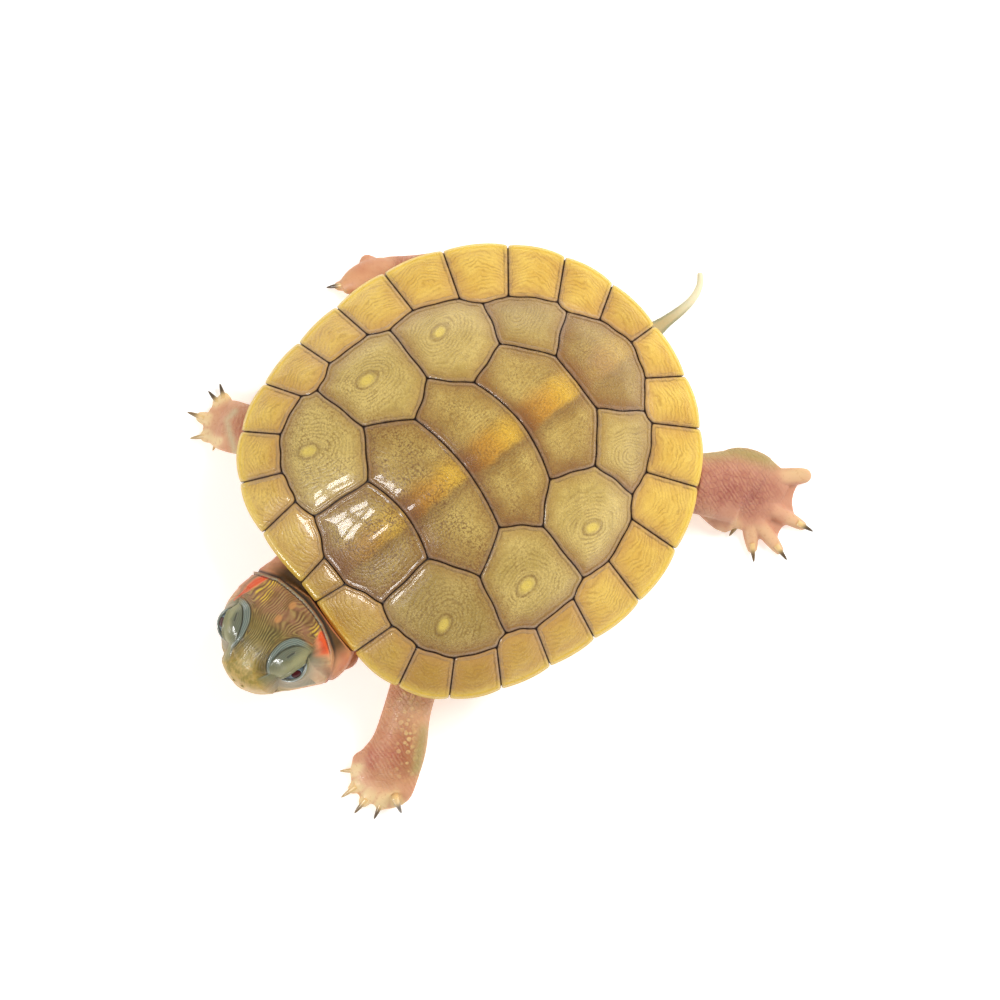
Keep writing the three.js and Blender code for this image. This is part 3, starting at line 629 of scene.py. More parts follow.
def build_plate(name, outline, centre, material, underside, rim=None, brown_from=None,
                spot_size=0.0, keel_share=0.0, oval_turn=0.0, shade_share=0.75, tint=0.0):
    """A closed plate in rings round its centre, with the measures that its finish needs."""
    edge_line = inset_outline(outline, SEAM_HALF_GAP)
    centre = np.asarray(centre, float)
    ray = edge_line - centre
    reach = lengths(ray)
    shares = [1 - step / reach for step in EDGE_STEPS]
    shares += [shares[-1] * (1 - (row / INNER_ROWS)) for row in range(1, INNER_ROWS)]
    shares = np.array(shares)
    rows, columns = shares.shape
    flat = np.vstack([(centre + shares[:, :, None] * ray[None]).reshape(-1, 2), centre])
    share = np.append(shares.ravel(), 0.0)
    edge = outline_distance(flat, edge_line)
    height = dome_height(*flat.T) + plate_relief(edge)
    angle = np.append(np.tile(np.arctan2(ray[:, 1], ray[:, 0]), rows), 0)
    oval = 1 + 0.22 * np.cos(2 * (angle - oval_turn))
    round_ring = share * np.append(np.tile(reach, rows), 0) * oval
    blend = smoothstep(0.45, 1.0, share)
    ring = round_ring * (1 - blend) + reach.mean() * share * blend
    ringed = 1 - 0.7 * smoothstep(0.45, 0.85, share)
    rim_gap, outer_gap = np.full(len(flat), NO_RIM), NO_RIM
    if rim is not None:
        seam_line_points = edge_line[len(rim) - 1:]
        rim_gap, outer_gap = path_distance(flat, rim), 0.2
        inside = np.clip(RIM_ROUNDING - rim_gap, 0, RIM_ROUNDING)
        height -= RIM_ROUNDING - np.sqrt(RIM_ROUNDING ** 2 - inside ** 2)
        side_gap = path_distance(flat, seam_line_points)
        height += 0.11 * bell(rim_gap, 0.08) * smoothstep(0.1, 0.4, side_gap)
        edge = np.where(rim_gap < 0.6, side_gap, edge)
        ring = rim_gap + 0.35 * side_gap
        ringed = np.ones(len(flat))
    points, inner, faces = plate_body(
        np.column_stack([flat, height]), edge_line, centre, underside, columns)
    extra = len(points) - len(flat)
    skirt_edge = np.concatenate([np.full(2 * columns, -0.2), np.full(extra - 2 * columns, -1.0)])
    if rim is not None:
        by_seam = path_distance(edge_line, seam_line_points)
        rim_edge = np.where(path_distance(edge_line, rim) < 0.12, by_seam, -0.2)
        under_edge = [outline_distance(row, edge_line) for row in inner]
        skirt_edge = np.concatenate([rim_edge] * len(SKIRT_DEPTHS) + under_edge + [[2.0]])
    shade, spot, spot_ring = (np.zeros(len(flat)) for _ in range(3))
    # Painted shade, partly brown horn, growing towards one side of the plate.
    if brown_from is not None:
        direction = np.asarray(brown_from, float) / np.linalg.norm(brown_from)
        lean = (flat - centre) @ direction / reach.mean()
        shade = smoothstep(0.35, 1.05, share) * smoothstep(-0.1, 0.9, lean) * shade_share
    if spot_size:
        spot = smoothstep(1.35 * spot_size, 0.5 * spot_size, round_ring)
        spot_ring = bell(round_ring - 1.5 * spot_size, 0.12)
    along = (flat[:, 1] - flat[:, 1].min()) / np.ptp(flat[:, 1])

    def padded(values, fill=0.0):
        return np.concatenate([np.broadcast_to(values, len(flat)), np.full(extra, fill)])

    return add_mesh(
        name, points, faces, material, edge=np.concatenate([edge, skirt_edge]), ring=padded(ring),
        rim=padded(rim_gap, outer_gap), shade=padded(shade), spot=padded(spot),
        spot_ring=padded(spot_ring), along=padded(along), ringed=padded(ringed, 1.0),
        keel=padded(keel_share), tint=padded(tint))


SIDES = ((1, "left"), (-1, "right"))
# Tints: how far each plate leans to its dark tone, or where negative to its pale one.
VERTEBRAL_KEELS = (0.75, 1.0, 1.0, 1.0, 0.35)
VERTEBRAL_TINTS = (0.14, 0.08, 0.06, 0.12, 0.36)
SPOT_SIZES = (0.42, 0.45, 0.38, 0.0)
COSTAL_TURNS = (0.4, 0.1, -0.2, -0.6)
COSTAL_SHADES = {"left": 0.85, "right": 0.5}
COSTAL_TINTS = {"left": (0.34, 0.06, 0.0, 0.18), "right": (-0.6, -0.25, 0.12, 0.4)}
MARGINAL_TINTS = {
    "left": (0.28, 0.42, 0.58, 0.58, 0.4, 0.3, 0.06, -0.06, -0.06, -0.06, 0.0, 0.04),
    "right": (0.12, -0.35, -0.1, 0.04, 0.14, 0.1, 0.04, 0.0, 0.0, 0.0, 0.06, 0.36)}


def nuchal_outline():
    """The small plate over the neck, and its points along the rim."""
    rim = rim_point(np.linspace(-OUTER_ANGLES[0], OUTER_ANGLES[0], 13))
    corner = junction("I0")
    left = seam("F1", "I0")
    rear = np.vstack([corner, left[::-1][:-1], left * (-1, 1), corner * (-1, 1)])
    side = rim[-1] + np.linspace(0, 1, 18)[1:-1, None] * (corner - rim[-1])
    return np.vstack([rim, side, rear, as_placed(side, -1)]), rim


def build_carapace():
    finishes = {
        "costal_horn": plate_finish(
            "costal_horn", base=(190, 162, 84), pale=(216, 188, 108), dark=(126, 92, 38),
            edge_brown_and_shade=(142, 94, 42), ring_contrast=0.5, grain=0.7),
        "vertebral_horn": plate_finish(
            "vertebral_horn", base=(176, 142, 70), pale=(210, 180, 98), dark=(108, 70, 30),
            edge_brown_and_shade=(132, 84, 42), ring_contrast=0.3, grain=1.0, keel=True),
        "marginal_horn": plate_finish(
            "marginal_horn", base=(216, 172, 72), pale=(234, 196, 92), dark=(158, 112, 36),
            edge_brown_and_shade=(190, 142, 80), ring_contrast=0.5, grain=0.35, marginal=True)}

    def add_plate(kind, node, outline, centre, underside, **looks):
        piece = build_plate(node + "_horn", outline, centre, finishes[kind], underside, **looks)
        hand_over(piece, kind, node)

    vertebrals = zip(VERTEBRALS, VERTEBRAL_SPOTS, VERTEBRAL_KEELS, VERTEBRAL_TINTS)
    for number, (corners, spot, keel_share, tint) in enumerate(vertebrals, 1):
        add_plate("vertebral_horn", f"vertebral_{number}", middle_outline(corners), (0.0, spot),
                  plate_underside, brown_from=(0.15, -1.0), keel_share=keel_share, tint=tint)
    outline, rim = nuchal_outline()
    add_plate("marginal_horn", "nuchal", outline, (0.0, -15.2), marginal_underside, rim=rim, tint=0.5)
    for side, word in SIDES:
        costals = zip(COSTALS, COSTAL_SPOTS, SPOT_SIZES, COSTAL_TURNS, COSTAL_TINTS[word])
        for number, (corners, spot, spot_size, turn, tint) in enumerate(costals, 1):
            add_plate("costal_horn", f"costal_{word}_{number}",
                      as_placed(seam_outline(corners), side), np.array(spot) * (side, 1),
                      plate_underside, brown_from=(side * 0.8, -0.6), spot_size=spot_size,
                      oval_turn=side * turn, shade_share=COSTAL_SHADES[word], tint=tint)
        for number, tint in enumerate(MARGINAL_TINTS[word], 1):
            outline, rim = marginal_outline(number)
            middle = outline.mean(axis=0) * (side, 1)
            outward = middle / np.linalg.norm(middle)
            placed = as_placed(outline, side)
            if side < 0:
                placed = np.roll(placed, len(rim), axis=0)
            add_plate("marginal_horn", f"marginal_{word}_{number}", placed, middle + 0.25 * outward,
                      marginal_underside, rim=as_placed(rim, side), brown_from=-outward,
                      shade_share=0.5, tint=tint)


def build_seam_bed():
    """A dark sheet inside the plates, so that no light comes up through the seams."""
    finish = Finish("seam_bed", Roughness=0.6)
    finish.colour = finish.mix(finish.noise(2.0), (58, 40, 30), (74, 54, 40))
    turn, plan = circle(240)
    radius = cosine_series(RIM_RADIUS, np.abs(turn)) - 0.32
    rings = []
    for depth, shares in ((0.3, np.linspace(0.01, 1, 60)), (0.48, np.linspace(1, 0.01, 60))):
        for share in shares:
            flat = plan * (radius * share)[:, None]
            rings.append(np.column_stack([flat, dome_height(*flat.T) - depth]))
    points, faces = closed_tube(np.array(rings))
    bed = add_mesh("seam_bed", points, turned(faces), finish.done())
    hand_over(bed, "vertebral_horn")


# The plastron's seams and the middles of its plates, on the left side.
PLASTRON_SEAMS = (
    ((0.1, -14.2), (-0.12, -9.8), (0.08, -7.1), (0.12, -2.8), (-0.12, 4.1), (0.06, 7.3), (0.0, 13.8)),
    ((0, -9.8), (2.1, -11.5), (4.4, -14.4)), ((0, -7.1), (4.0, -7.8), (9.0, -9.5)),
    ((0, -2.8), (6.0, -3.1), (13.4, -2.2)), ((0, 4.1), (5.0, 4.7), (10.4, 6.9)),
    ((0, 7.3), (4.2, 8.6), (8.2, 11.6)))
PLASTRON_SPOTS = ((1.6, -12.2), (4.4, -9.9), (5.6, -5.6), (5.6, 0.9), (4.6, 6.6), (2.9, 10.5))


def plastron_finish():
    finish = Finish("plastron_plates", Roughness=0.38, Coat_Weight=0.3, Coat_Roughness=0.1, IOR=1.42)
    seam_gap, spot_gap = finish.attribute("edge"), finish.attribute("spot")
    warp = finish.noise(0.9) - 0.5
    finish.colour = finish.mix(finish.noise(0.4).ramp(0.35, 0.65), (232, 196, 112), (242, 212, 138))
    rings = (warp * 0.5 + seam_gap).waves(0.55, 2.0)
    finish.over(rings * 0.16, (196, 146, 72))
    away = warp * 1.2 + spot_gap
    smoke = finish.noise(0.8).ramp(0.35, 0.65, 0.25, 0.55)
    finish.over(away.band(1.3, 0.55) * smoke, (168, 108, 52))
    finish.over(away.ramp(0.9, 0.2) * 0.4, (206, 148, 76))
    finish.over((warp * 0.06 + seam_gap).ramp(0.02, 0.14, 0.8, 0.0), (112, 76, 44))
    finish.bump(rings * -0.5 + finish.noise(3.0), 0.4, 0.05)
    return finish.done()


def build_plastron():
    outline = plastron_outline()
    turn, steps = circle(600)
    bearing = np.arctan2(outline[:, 0], -outline[:, 1])
    radius = np.interp(turn, bearing, np.hypot(*outline.T), period=2 * math.pi)
    turn = np.abs(turn)
    room = cosine_series(RIM_RADIUS, turn) * cosine_series(INNER_RING_RATIO, turn) - 0.05
    plan = steps * np.minimum(radius, room)[:, None]
    span = np.hypot(*plan.T)
    lower = np.append(np.linspace(0.008, 0.95, 100), (0.965, 0.98, 0.99, 0.996, 1.0))
    upper = np.append((1.0, 0.995, 0.985, 0.97), np.linspace(0.9, 0.01, 12))
    rings = []
    for shares, level, rounding in ((lower, 0.0, 0.45), (upper, PLASTRON_THICKNESS, -0.3)):
        edge_radius = abs(rounding)
        for share in shares:
            flat = plan * share
            inset = np.clip(edge_radius - (1 - share) * span, 0, edge_radius)
            lift = math.copysign(1, rounding) * np.sqrt(edge_radius ** 2 - inset ** 2)
            rings.append(np.column_stack([
                flat, level + plastron_underside(flat[:, 0]) + rounding - lift]))
    points, faces = closed_tube(np.array(rings))
    one_side = np.column_stack([np.abs(points[:, 0]), points[:, 1]])
    middle, *cross = [spline(line, 60) for line in PLASTRON_SEAMS]
    gap = np.minimum.reduce([path_distance(points[:, :2], middle)]
                            + [path_distance(one_side, line) for line in cross])
    below = points[:, 2] < plastron_underside(points[:, 0]) + 0.5
    points[:, 2] += below * (0.09 * bell(gap, 0.1) + 0.05 * smoothstep(1.2, 0.0, gap))
    spots = np.min([lengths((one_side - spot) * (1.0, 1.15)) for spot in PLASTRON_SPOTS], axis=0)
    piece = add_mesh("plastron_horn", points, faces, plastron_finish(), edge=gap, spot=spots)
    hand_over(piece, "plastron_horn", "plastron")


build_carapace()
build_seam_bed()

# ---- the skin's rough form -------------------------------------------------

VOXEL = 0.115
# Stations of a toe: share of the way to its end, height, half width and half height.
CLAWED_TOE = ((0.0, 0.8, 0.72, 0.66), (0.4, 0.68, 0.64, 0.6), (0.75, 0.5, 0.54, 0.5),
              (1.0, 0.38, 0.38, 0.36))
CLAWLESS_TOE = ((0.0, 0.8, 0.75, 0.66), (0.4, 0.66, 0.72, 0.6), (0.75, 0.52, 0.66, 0.5),
                (0.93, 0.45, 0.52, 0.42), (1.0, 0.4, 0.22, 0.2))


def path_frame(rows, count):
    """Centres and cross-section axes along a smooth path, square to it."""
    path = spline(rows, count)
    centre = path[:, :3]
    forward = np.gradient(centre, axis=0)
    forward /= lengths(forward)[:, None]
    across = np.cross((0, 0, 1), forward)
    across /= lengths(across)[:, None]
    return path, centre, across, np.cross(forward, across)


def oval_tube(rows, count=40, sides=32, grow=0.0):
    path, centre, across, up = path_frame(rows, count)
    turn = np.linspace(0, 2 * math.pi, sides, endpoint=False)
    wide = (path[:, 3:4] + grow) * np.cos(turn)
    high = (path[:, 4:5] + grow) * np.sin(turn)
    return closed_tube(centre[:, None] + wide[:, :, None] * across[:, None] + high[:, :, None] * up[:, None])


def head_matrix():
    return (Matrix.Translation(HEAD_CENTRE) @ Matrix.Rotation(HEAD_YAW, 4, "Z")
            @ Matrix.Rotation(-HEAD_LIFT, 4, "X") @ Matrix.Rotation(-HEAD_ROLL, 4, "Y"))


HEAD_TURN = np.array(head_matrix())


def from_head(points):
    """Left, forward and up in the head's frame, to millimetres in the shared frame."""
    local = np.asarray(points, float) * (1, -1, 1)
    return local @ HEAD_TURN[:3, :3].T + HEAD_TURN[:3, 3]


def to_head(points):
    return ((points - HEAD_TURN[:3, 3]) @ HEAD_TURN[:3, :3]) * (1, -1, 1)


def head_tube():
    stations = spline(HEAD_STATIONS, 60)
    turn = np.linspace(0, 2 * math.pi, 72, endpoint=False)
    cosine, sine = np.cos(turn), np.sin(turn)
    middle_up, power = -0.9, 0.86
    across = np.sign(cosine) * np.abs(cosine) ** power
    rise = np.sign(sine) * np.abs(sine) ** power
    rings = []
    for forward, left, right, top, bottom in stations:
        level = min(max(middle_up, bottom), top)
        width = np.where(cosine > 0, left, right)
        height = np.where(sine > 0, top - level, level - bottom)
        rings.append(np.stack([across * width, np.full(72, forward), level + rise * height], axis=1))
    points, faces = closed_tube(np.array(rings))
    # Forward is against +Y, so the faces turn round with the mirrored axis.
    return from_head(points), turned(faces)


def ellipsoid(radii, rows=24, sides=36):
    tilt = np.linspace(0.02, math.pi - 0.02, rows)[:, None]
    spin = np.linspace(0, 2 * math.pi, sides, endpoint=False)[None]
    unit = np.stack([np.sin(tilt) * np.cos(spin), np.sin(tilt) * np.sin(spin),
                     np.cos(tilt) * np.ones_like(spin)], axis=-1)
    points, faces = closed_tube(unit * radii)
    return points, turned(faces)


def toe_path(palm, tip, root_shift, clawed):
    """Stations of a toe: place, half width and half height."""
    root = np.array(palm[:2]) + root_shift
    tip = np.array(tip, float)
    claw_start = 1 - CLAW_LENGTH / np.linalg.norm(tip - root)
    stations = CLAWLESS_TOE
    if clawed:
        stations = [(share * claw_start, *sizes) for share, *sizes in CLAWED_TOE]
        stations.append((claw_start + 0.06, 0.34, 0.2, 0.2))
    return [(*(root + share * (tip - root)), z, wide, high) for share, z, wide, high in stations]


def limb_axes(limb):
    palm, ball = np.array(limb["sole"][0][:2]), np.array(limb["sole"][1][:2])
    forward = (ball - palm) / np.linalg.norm(ball - palm)
    return palm, np.array([-forward[1], forward[0]])


def toe_paths(limb):
    palm, across = limb_axes(limb)
    paths = []
    for number, tip in enumerate(limb["toes"]):
        side = float(np.clip((np.array(tip) - palm) @ across, -limb["spread"], limb["spread"]))
        paths.append(toe_path(limb["sole"][0], tip, across * 0.5 * side, number != limb["clawless"]))
    return paths


def web_sheet(limb):
    """A thin fan between the toes, drawn in between each pair."""
    palm, _ = limb_axes(limb)
    heel = np.array(limb["leg"][-1][:2])
    tip_share, dip_share = limb["webbing"]
    ends = [np.array(path[3 if number == limb["clawless"] else -2][:2])
            for number, path in enumerate(toe_paths(limb))]
    ends = [palm + tip_share * (end - palm) for end in ends]
    edge = []
    for first, second in zip(ends, ends[1:]):
        middle = (first + second) / 2
        dip = palm + dip_share * (middle - palm)
        for share in np.linspace(0, 1, 9)[:-1]:
            edge.append((1 - share) ** 2 * first + 2 * share * (1 - share) * (2 * dip - middle)
                        + share ** 2 * second)
    edge = np.array([*edge, ends[-1]])
    start = 0.5 * palm + 0.5 * heel
    reach = np.linspace(0.0, 1.0, 16)
    rings = np.array([start + share * (edge - start) for share in reach])
    top = 0.95 - 0.55 * smoothstep(0.35, 1.0, reach)
    upper = np.dstack([rings, np.repeat(top[:, None], len(edge), axis=1)])
    lower = np.dstack([rings, np.full((len(reach), len(edge)), 0.02)])
    return closed_tube(
        np.concatenate([upper.transpose(1, 0, 2), lower.transpose(1, 0, 2)[:, ::-1]], axis=1))


def trunk_solid():
    """The body under the plates, from its own underside up to just below the plates."""
    turn = np.linspace(0, 2 * math.pi, 96, endpoint=False)
    bearing = np.abs(np.where(turn > math.pi, turn - 2 * math.pi, turn))
    radius = 0.975 * cosine_series(RIM_RADIUS, bearing) * cosine_series(INNER_RING_RATIO, bearing)
    plan = np.stack([np.sin(turn), -np.cos(turn)], axis=1)
    upper = [plan * (radius * share)[:, None] for share in np.linspace(0.02, 1, 24)]
    lower = [plan * (radius * share)[:, None] for share in np.linspace(1, 0.02, 24)]
    rings = [np.column_stack([flat, dome_height(*flat.T) - 1.05]) for flat in upper]
    rings += [np.column_stack([flat, PLASTRON_THICKNESS + 0.3 + plastron_underside(flat[:, 0])])
              for flat in lower]
    points, faces = closed_tube(np.array(rings))
    return points, turned(faces)


def joined(parts):
    """Points and faces of several closed forms together."""
    offset, faces = 0, []
    for points, part_faces in parts:
        faces += [block + offset for block in part_faces]
        offset += len(points)
    return np.vstack([points for points, _ in parts]), faces


def fused(parts, voxel):
    """One closed skin round all the parts."""
    points, faces = joined(parts)
    rough = add_mesh("rough", points / MM, faces)
    fuse = rough.modifiers.new("fuse", "REMESH")
    fuse.mode = "VOXEL"
    fuse.voxel_size = voxel
    evaluated = rough.evaluated_get(bpy.context.evaluated_depsgraph_get())
    mesh = bpy.data.meshes.new_from_object(evaluated)
    old = rough.data
    bpy.data.objects.remove(rough)
    bpy.data.meshes.remove(old)
    return mesh


def read_mesh(items, field, width, kind=np.float32):
    values = np.empty(len(items) * width, dtype=kind)
    items.foreach_get(field, values)
    return values.reshape(-1, width)


def mesh_points(mesh):
    return read_mesh(mesh.vertices, "co", 3).astype(float)


def place_vertices(mesh, points):
    mesh.vertices.foreach_set("co", points.astype(np.float32).ravel())
    mesh.update()


def smoothed(points, pairs, rounds, where=1.0):
    """Evens out points along their edges, without much shrinking."""
    count = len(points)
    degree = np.bincount(pairs.ravel(), minlength=count)[:, None]
    share = np.broadcast_to(where, count)[:, None]
    for _ in range(rounds):
        for pull in (0.5, -0.48):
            total = np.empty_like(points)
            for axis in range(3):
                total[:, axis] = (np.bincount(pairs[:, 0], points[pairs[:, 1], axis], count)
                                  + np.bincount(pairs[:, 1], points[pairs[:, 0], axis], count))
            points = points + pull * share * (total / np.maximum(degree, 1) - points)
    return points


def subdivided(mesh, chosen):
    """Cuts every edge between chosen vertices in two."""
    work = bmesh.new()
    work.from_mesh(mesh)
    edges = [edge for edge in work.edges if chosen[edge.verts[0].index] and chosen[edge.verts[1].index]]
    bmesh.ops.subdivide_edges(work, edges=edges, cuts=1, use_grid_fill=True)
    work.to_mesh(mesh)
    work.free()


# ---- the head's fine form --------------------------------------------------

GAZES = {1: (0.73, 0.43, 0.53), -1: (0.64, 0.41, 0.65)}
LID_RADIUS = EYE_RADIUS + 0.16
REAR_HALF_LENGTH, FRONT_HALF_LENGTH = 1.0, 1.5
HALF_OPENING = 0.36
# Curves round the middle of the lids, left and forward in the head's plan, front end first.
LID_CENTRE = (2.95, -0.35)
LID_CREASE = ((1.95, 1.25), (1.68, 0.75), (1.64, 0.25), (1.77, -0.35), (2.05, -0.98),
              (2.56, -1.62), (3.2, -1.88), (3.8, -1.8))
EYE_FOLD = ((2.7, 1.9), (1.95, 1.6), (1.44, 0.95), (1.25, 0.2), (1.29, -0.5), (1.5, -1.25), (2.0, -1.95),
            (2.65, -2.25), (3.4, -2.35), (4.1, -2.0), (4.45, -1.2))
LID_SLIT = ((2.48, -0.5), (2.68, -1.08))
PIT_IN_FRONT_OF_EYE = (1.2, 1.15)
NOSTRIL = (0.4, 2.95, -0.45)
EARDRUM = (4.6, -3.1, -1.2)
COLLAR = ((-6.5, -20.7), (-3.37, -18.6), (-2.19, -17.82), (-1.03, -17.53), (0.19, -17.29),
          (1.36, -17.22), (2.51, -17.28), (3.7, -17.6), (4.6, -17.95), (5.1, -18.3),
          (5.6, -18.95), (6.05, -19.75), (7.0, -21.0))


def eye_axes(side):
    gaze = np.array(GAZES[side]) / np.linalg.norm(GAZES[side])
    along = np.array([0, 1, 0]) - gaze[1] * gaze
    along /= np.linalg.norm(along)
    return gaze, along, np.cross(gaze, along)


def eye_measures(local, side):
    """Round one eye: reach and direction from its centre, millimetres along and over
    the ball, and the distance outside the opening."""
    gap = local * (side, 1, 1) - EYE_PLACE
    reach = lengths(gap)
    ray = gap / np.maximum(reach, 1e-6)[:, None]
    gaze, along, over = eye_axes(side)
    tilt = np.arcsin(np.clip(ray @ along, -1, 1))
    spin = np.arctan2(ray @ over, ray @ gaze)
    x = tilt * LID_RADIUS
    y = spin * LID_RADIUS * np.cos(tilt)
    half = np.where(x > 0, FRONT_HALF_LENGTH, REAR_HALF_LENGTH)
    room = 1 - (x / half) ** 2
    slope = np.sqrt(1 + np.minimum(0.8 * np.abs(x) / half ** 2, 1.2) ** 2)
    opening = np.maximum(y - HALF_OPENING * room, -HALF_OPENING * room - y) / slope
    return reach, ray, x, y, opening


def ring_gap(local, side, curve):
    """Distance outside a curve round the lids, and 1 where the curve runs, 0 past its ends."""
    path = spline(curve, 80) - LID_CENTRE
    turns = np.arctan2(-path[:, 1], -path[:, 0])
    away = local[:, :2] * (side, 1) - LID_CENTRE
    turn = np.arctan2(-away[:, 1], -away[:, 0])
    gap = lengths(away) - np.interp(turn, turns, lengths(path))
    run = smoothstep(turns[0] + 0.2, turns[0] + 0.8, turn)
    return gap, run * smoothstep(turns[-1] - 0.2, turns[-1] - 1.0, turn)


def mouth_measure(local):
    level = local[:, 2] - (MOUTH_HEIGHT + 0.06 * local[:, 1])
    return level, smoothstep(-2.3, -1.5, local[:, 1])


def collar_measure(points):
    """Distance behind the fold where the head meets the neck."""
    line = np.array(COLLAR)
    level = np.interp(points[:, 0], line[:, 0], line[:, 1])
    slope = np.interp(
        points[:, 0], (line[1:, 0] + line[:-1, 0]) / 2, np.diff(line[:, 1]) / np.diff(line[:, 0]))
    return (points[:, 1] - level) / np.sqrt(1 + slope ** 2)


def sculpt_head(points, normals):
    local = to_head(points)
    head_up = normals @ HEAD_TURN[:3, 2]
    weight = smoothstep(-6.3, -5.2, local[:, 1])
    on_top = weight * smoothstep(0.05, 0.45, head_up)
    push = np.zeros(len(points))
    for side in (1, -1):
        reach, ray, x, y, opening = eye_measures(local, side)
        near = (reach < 3.0) & (ray @ eye_axes(side)[0] > -0.55)
        hug = (1 - smoothstep(0.4, 1.25, opening)) * near
        upper = smoothstep(-0.1, 0.25, y)
        target = LID_RADIUS + 0.035 * bell(opening - 0.1, 0.08) - 0.03 * bell(opening - 0.27, 0.06)
        target += 0.09 * bell(opening - 0.6, 0.28) * upper - 0.04 * bell(opening - 0.45, 0.06) * (1 - upper)
        target -= 0.04 * bell(opening - 0.72, 0.06) * (1 - upper)
        corner = smoothstep(0.85, 1.05, np.abs(x)) * smoothstep(2.1, 1.4, np.abs(x))
        target -= 0.1 * bell(y, 0.06) * corner
        new_reach = reach + hug * (target - reach)
        inside = smoothstep(0.05, -0.05, opening) * near
        new_reach = new_reach + inside * (EYE_RADIUS - 0.16 - new_reach)
        moved = (ray * new_reach[:, None] + EYE_PLACE) * (side, 1, 1)
        here = near & (side * local[:, 0] > 0.4)
        local = np.where(here[:, None], moved, local)
        crease, crease_run = ring_gap(local, side, LID_CREASE)
        fold, fold_run = ring_gap(local, side, EYE_FOLD)
        outside = smoothstep(0.25, 0.6, opening)
        line = here * on_top * outside
        push -= line * crease_run * 0.11 * bell(crease, 0.06)
        push += line * fold_run * 0.06 * smoothstep(-0.02, 0.12, crease) * smoothstep(0.0, -0.14, fold)
        push += line * crease_run * 0.06 * smoothstep(-0.05, -0.4, crease) * smoothstep(-1.3, -0.8, crease)
        push -= line * fold_run * 0.07 * bell(fold, 0.05)
        for order in range(1, 5):
            push += line * fold_run * 0.022 * 0.8 ** order * (
                bell(fold - 0.2 * order + 0.1, 0.06) - bell(fold - 0.2 * order, 0.045))
        slit = path_distance(local[:, :2] * (side, 1), LID_SLIT)
        push -= line * 0.07 * bell(slit, 0.06)
        pit = lengths(local[:, :2] * (side, 1) - PIT_IN_FRONT_OF_EYE)
        push -= on_top * 0.16 * bell(pit, 0.42)
    points = points + weight[:, None] * (from_head(local) - points)
    level, ahead = mouth_measure(local)
    facing = smoothstep(0.85, 0.5, np.abs(normals[:, 2]))
    push += ahead * facing * weight * (-0.15 * bell(level, 0.07) + 0.06 * bell(level - 0.16, 0.14))
    for side in (1, -1):
        nostril = lengths(local - NOSTRIL * np.array((side, 1, 1)))
        push += -0.16 * bell(nostril, 0.1) + 0.03 * bell(nostril - 0.2, 0.08)
        drum = lengths((local - EARDRUM * np.array((side, 1, 1))) * (0.3, 1, 1))
        push -= 0.03 * smoothstep(1.0, 0.5, drum) * (np.abs(local[:, 0]) > 2.5)
    behind = collar_measure(points)
    high = smoothstep(2.2, 3.4, points[:, 2]) * smoothstep(-11.5, -13.0, points[:, 1])
    near_neck = high * (np.abs(points[:, 0] - 1.0) < 6.5) * (points[:, 1] > -21.5)
    ridge = smoothstep(5.2, 3.9, points[:, 0])
    push += near_neck * (0.09 * ridge * bell(behind, 0.07) - (0.05 + 0.06 * ridge) * bell(behind + 0.13, 0.05)
                         - 0.13 * bell(behind - 0.22, 0.12))
    wrinkle = np.sin(2 * math.pi * behind / 0.7 + 1.5 * value_noise(points, 0.6, 3))
    neck_top = smoothstep(0.1, 0.6, normals[:, 2])
    push += near_neck * (0.012 + 0.02 * neck_top) * wrinkle * smoothstep(0.3, 0.7, behind)
    return points + push[:, None] * normals


def keep_clear(points):
    """Draws the skin in from the shell over it, the plastron under it and the floor."""
    x, y, z = points.T
    angle = shell_angle(x, y)
    inward = cosine_series(RIM_RADIUS, angle) - np.hypot(x, y)
    ceiling = marginal_underside(x, y) - 0.1
    under_rim = smoothstep(-0.35, 0.0, inward)
    under_dome = np.hypot(x, y) < cosine_series(RIM_RADIUS, angle) * cosine_series(INNER_RING_RATIO, angle)
    ceiling = np.where(under_dome, np.maximum(ceiling, dome_height(x, y) - 1.0), ceiling)
    z = np.where(inward > -0.35, np.minimum(z, ceiling + (1 - under_rim) * 2.0), z)
    outline = plastron_outline()
    within = points_inside(points[:, :2], outline)
    z = np.where(within, np.maximum(z, PLASTRON_THICKNESS + 0.12 + plastron_underside(x)), z)
    return np.column_stack([x, y, np.maximum(z, 0.012)])


def points_inside(points, outline):
    inside = np.zeros(len(points), dtype=bool)
    for (x0, y0), (x1, y1) in zip(outline, np.roll(outline, -1, axis=0)):
        crosses = (y0 > points[:, 1]) != (y1 > points[:, 1])
        if y0 != y1:
            inside ^= crosses & (points[:, 0] < (x1 - x0) * (points[:, 1] - y0) / (y1 - y0) + x0)
    return inside


def plastron_outline():
    left = spline(PLASTRON_OUTLINE, 160)
    return np.vstack([left, left[1:-1][::-1] * (-1, 1)])


# ---- the skin's markings ---------------------------------------------------

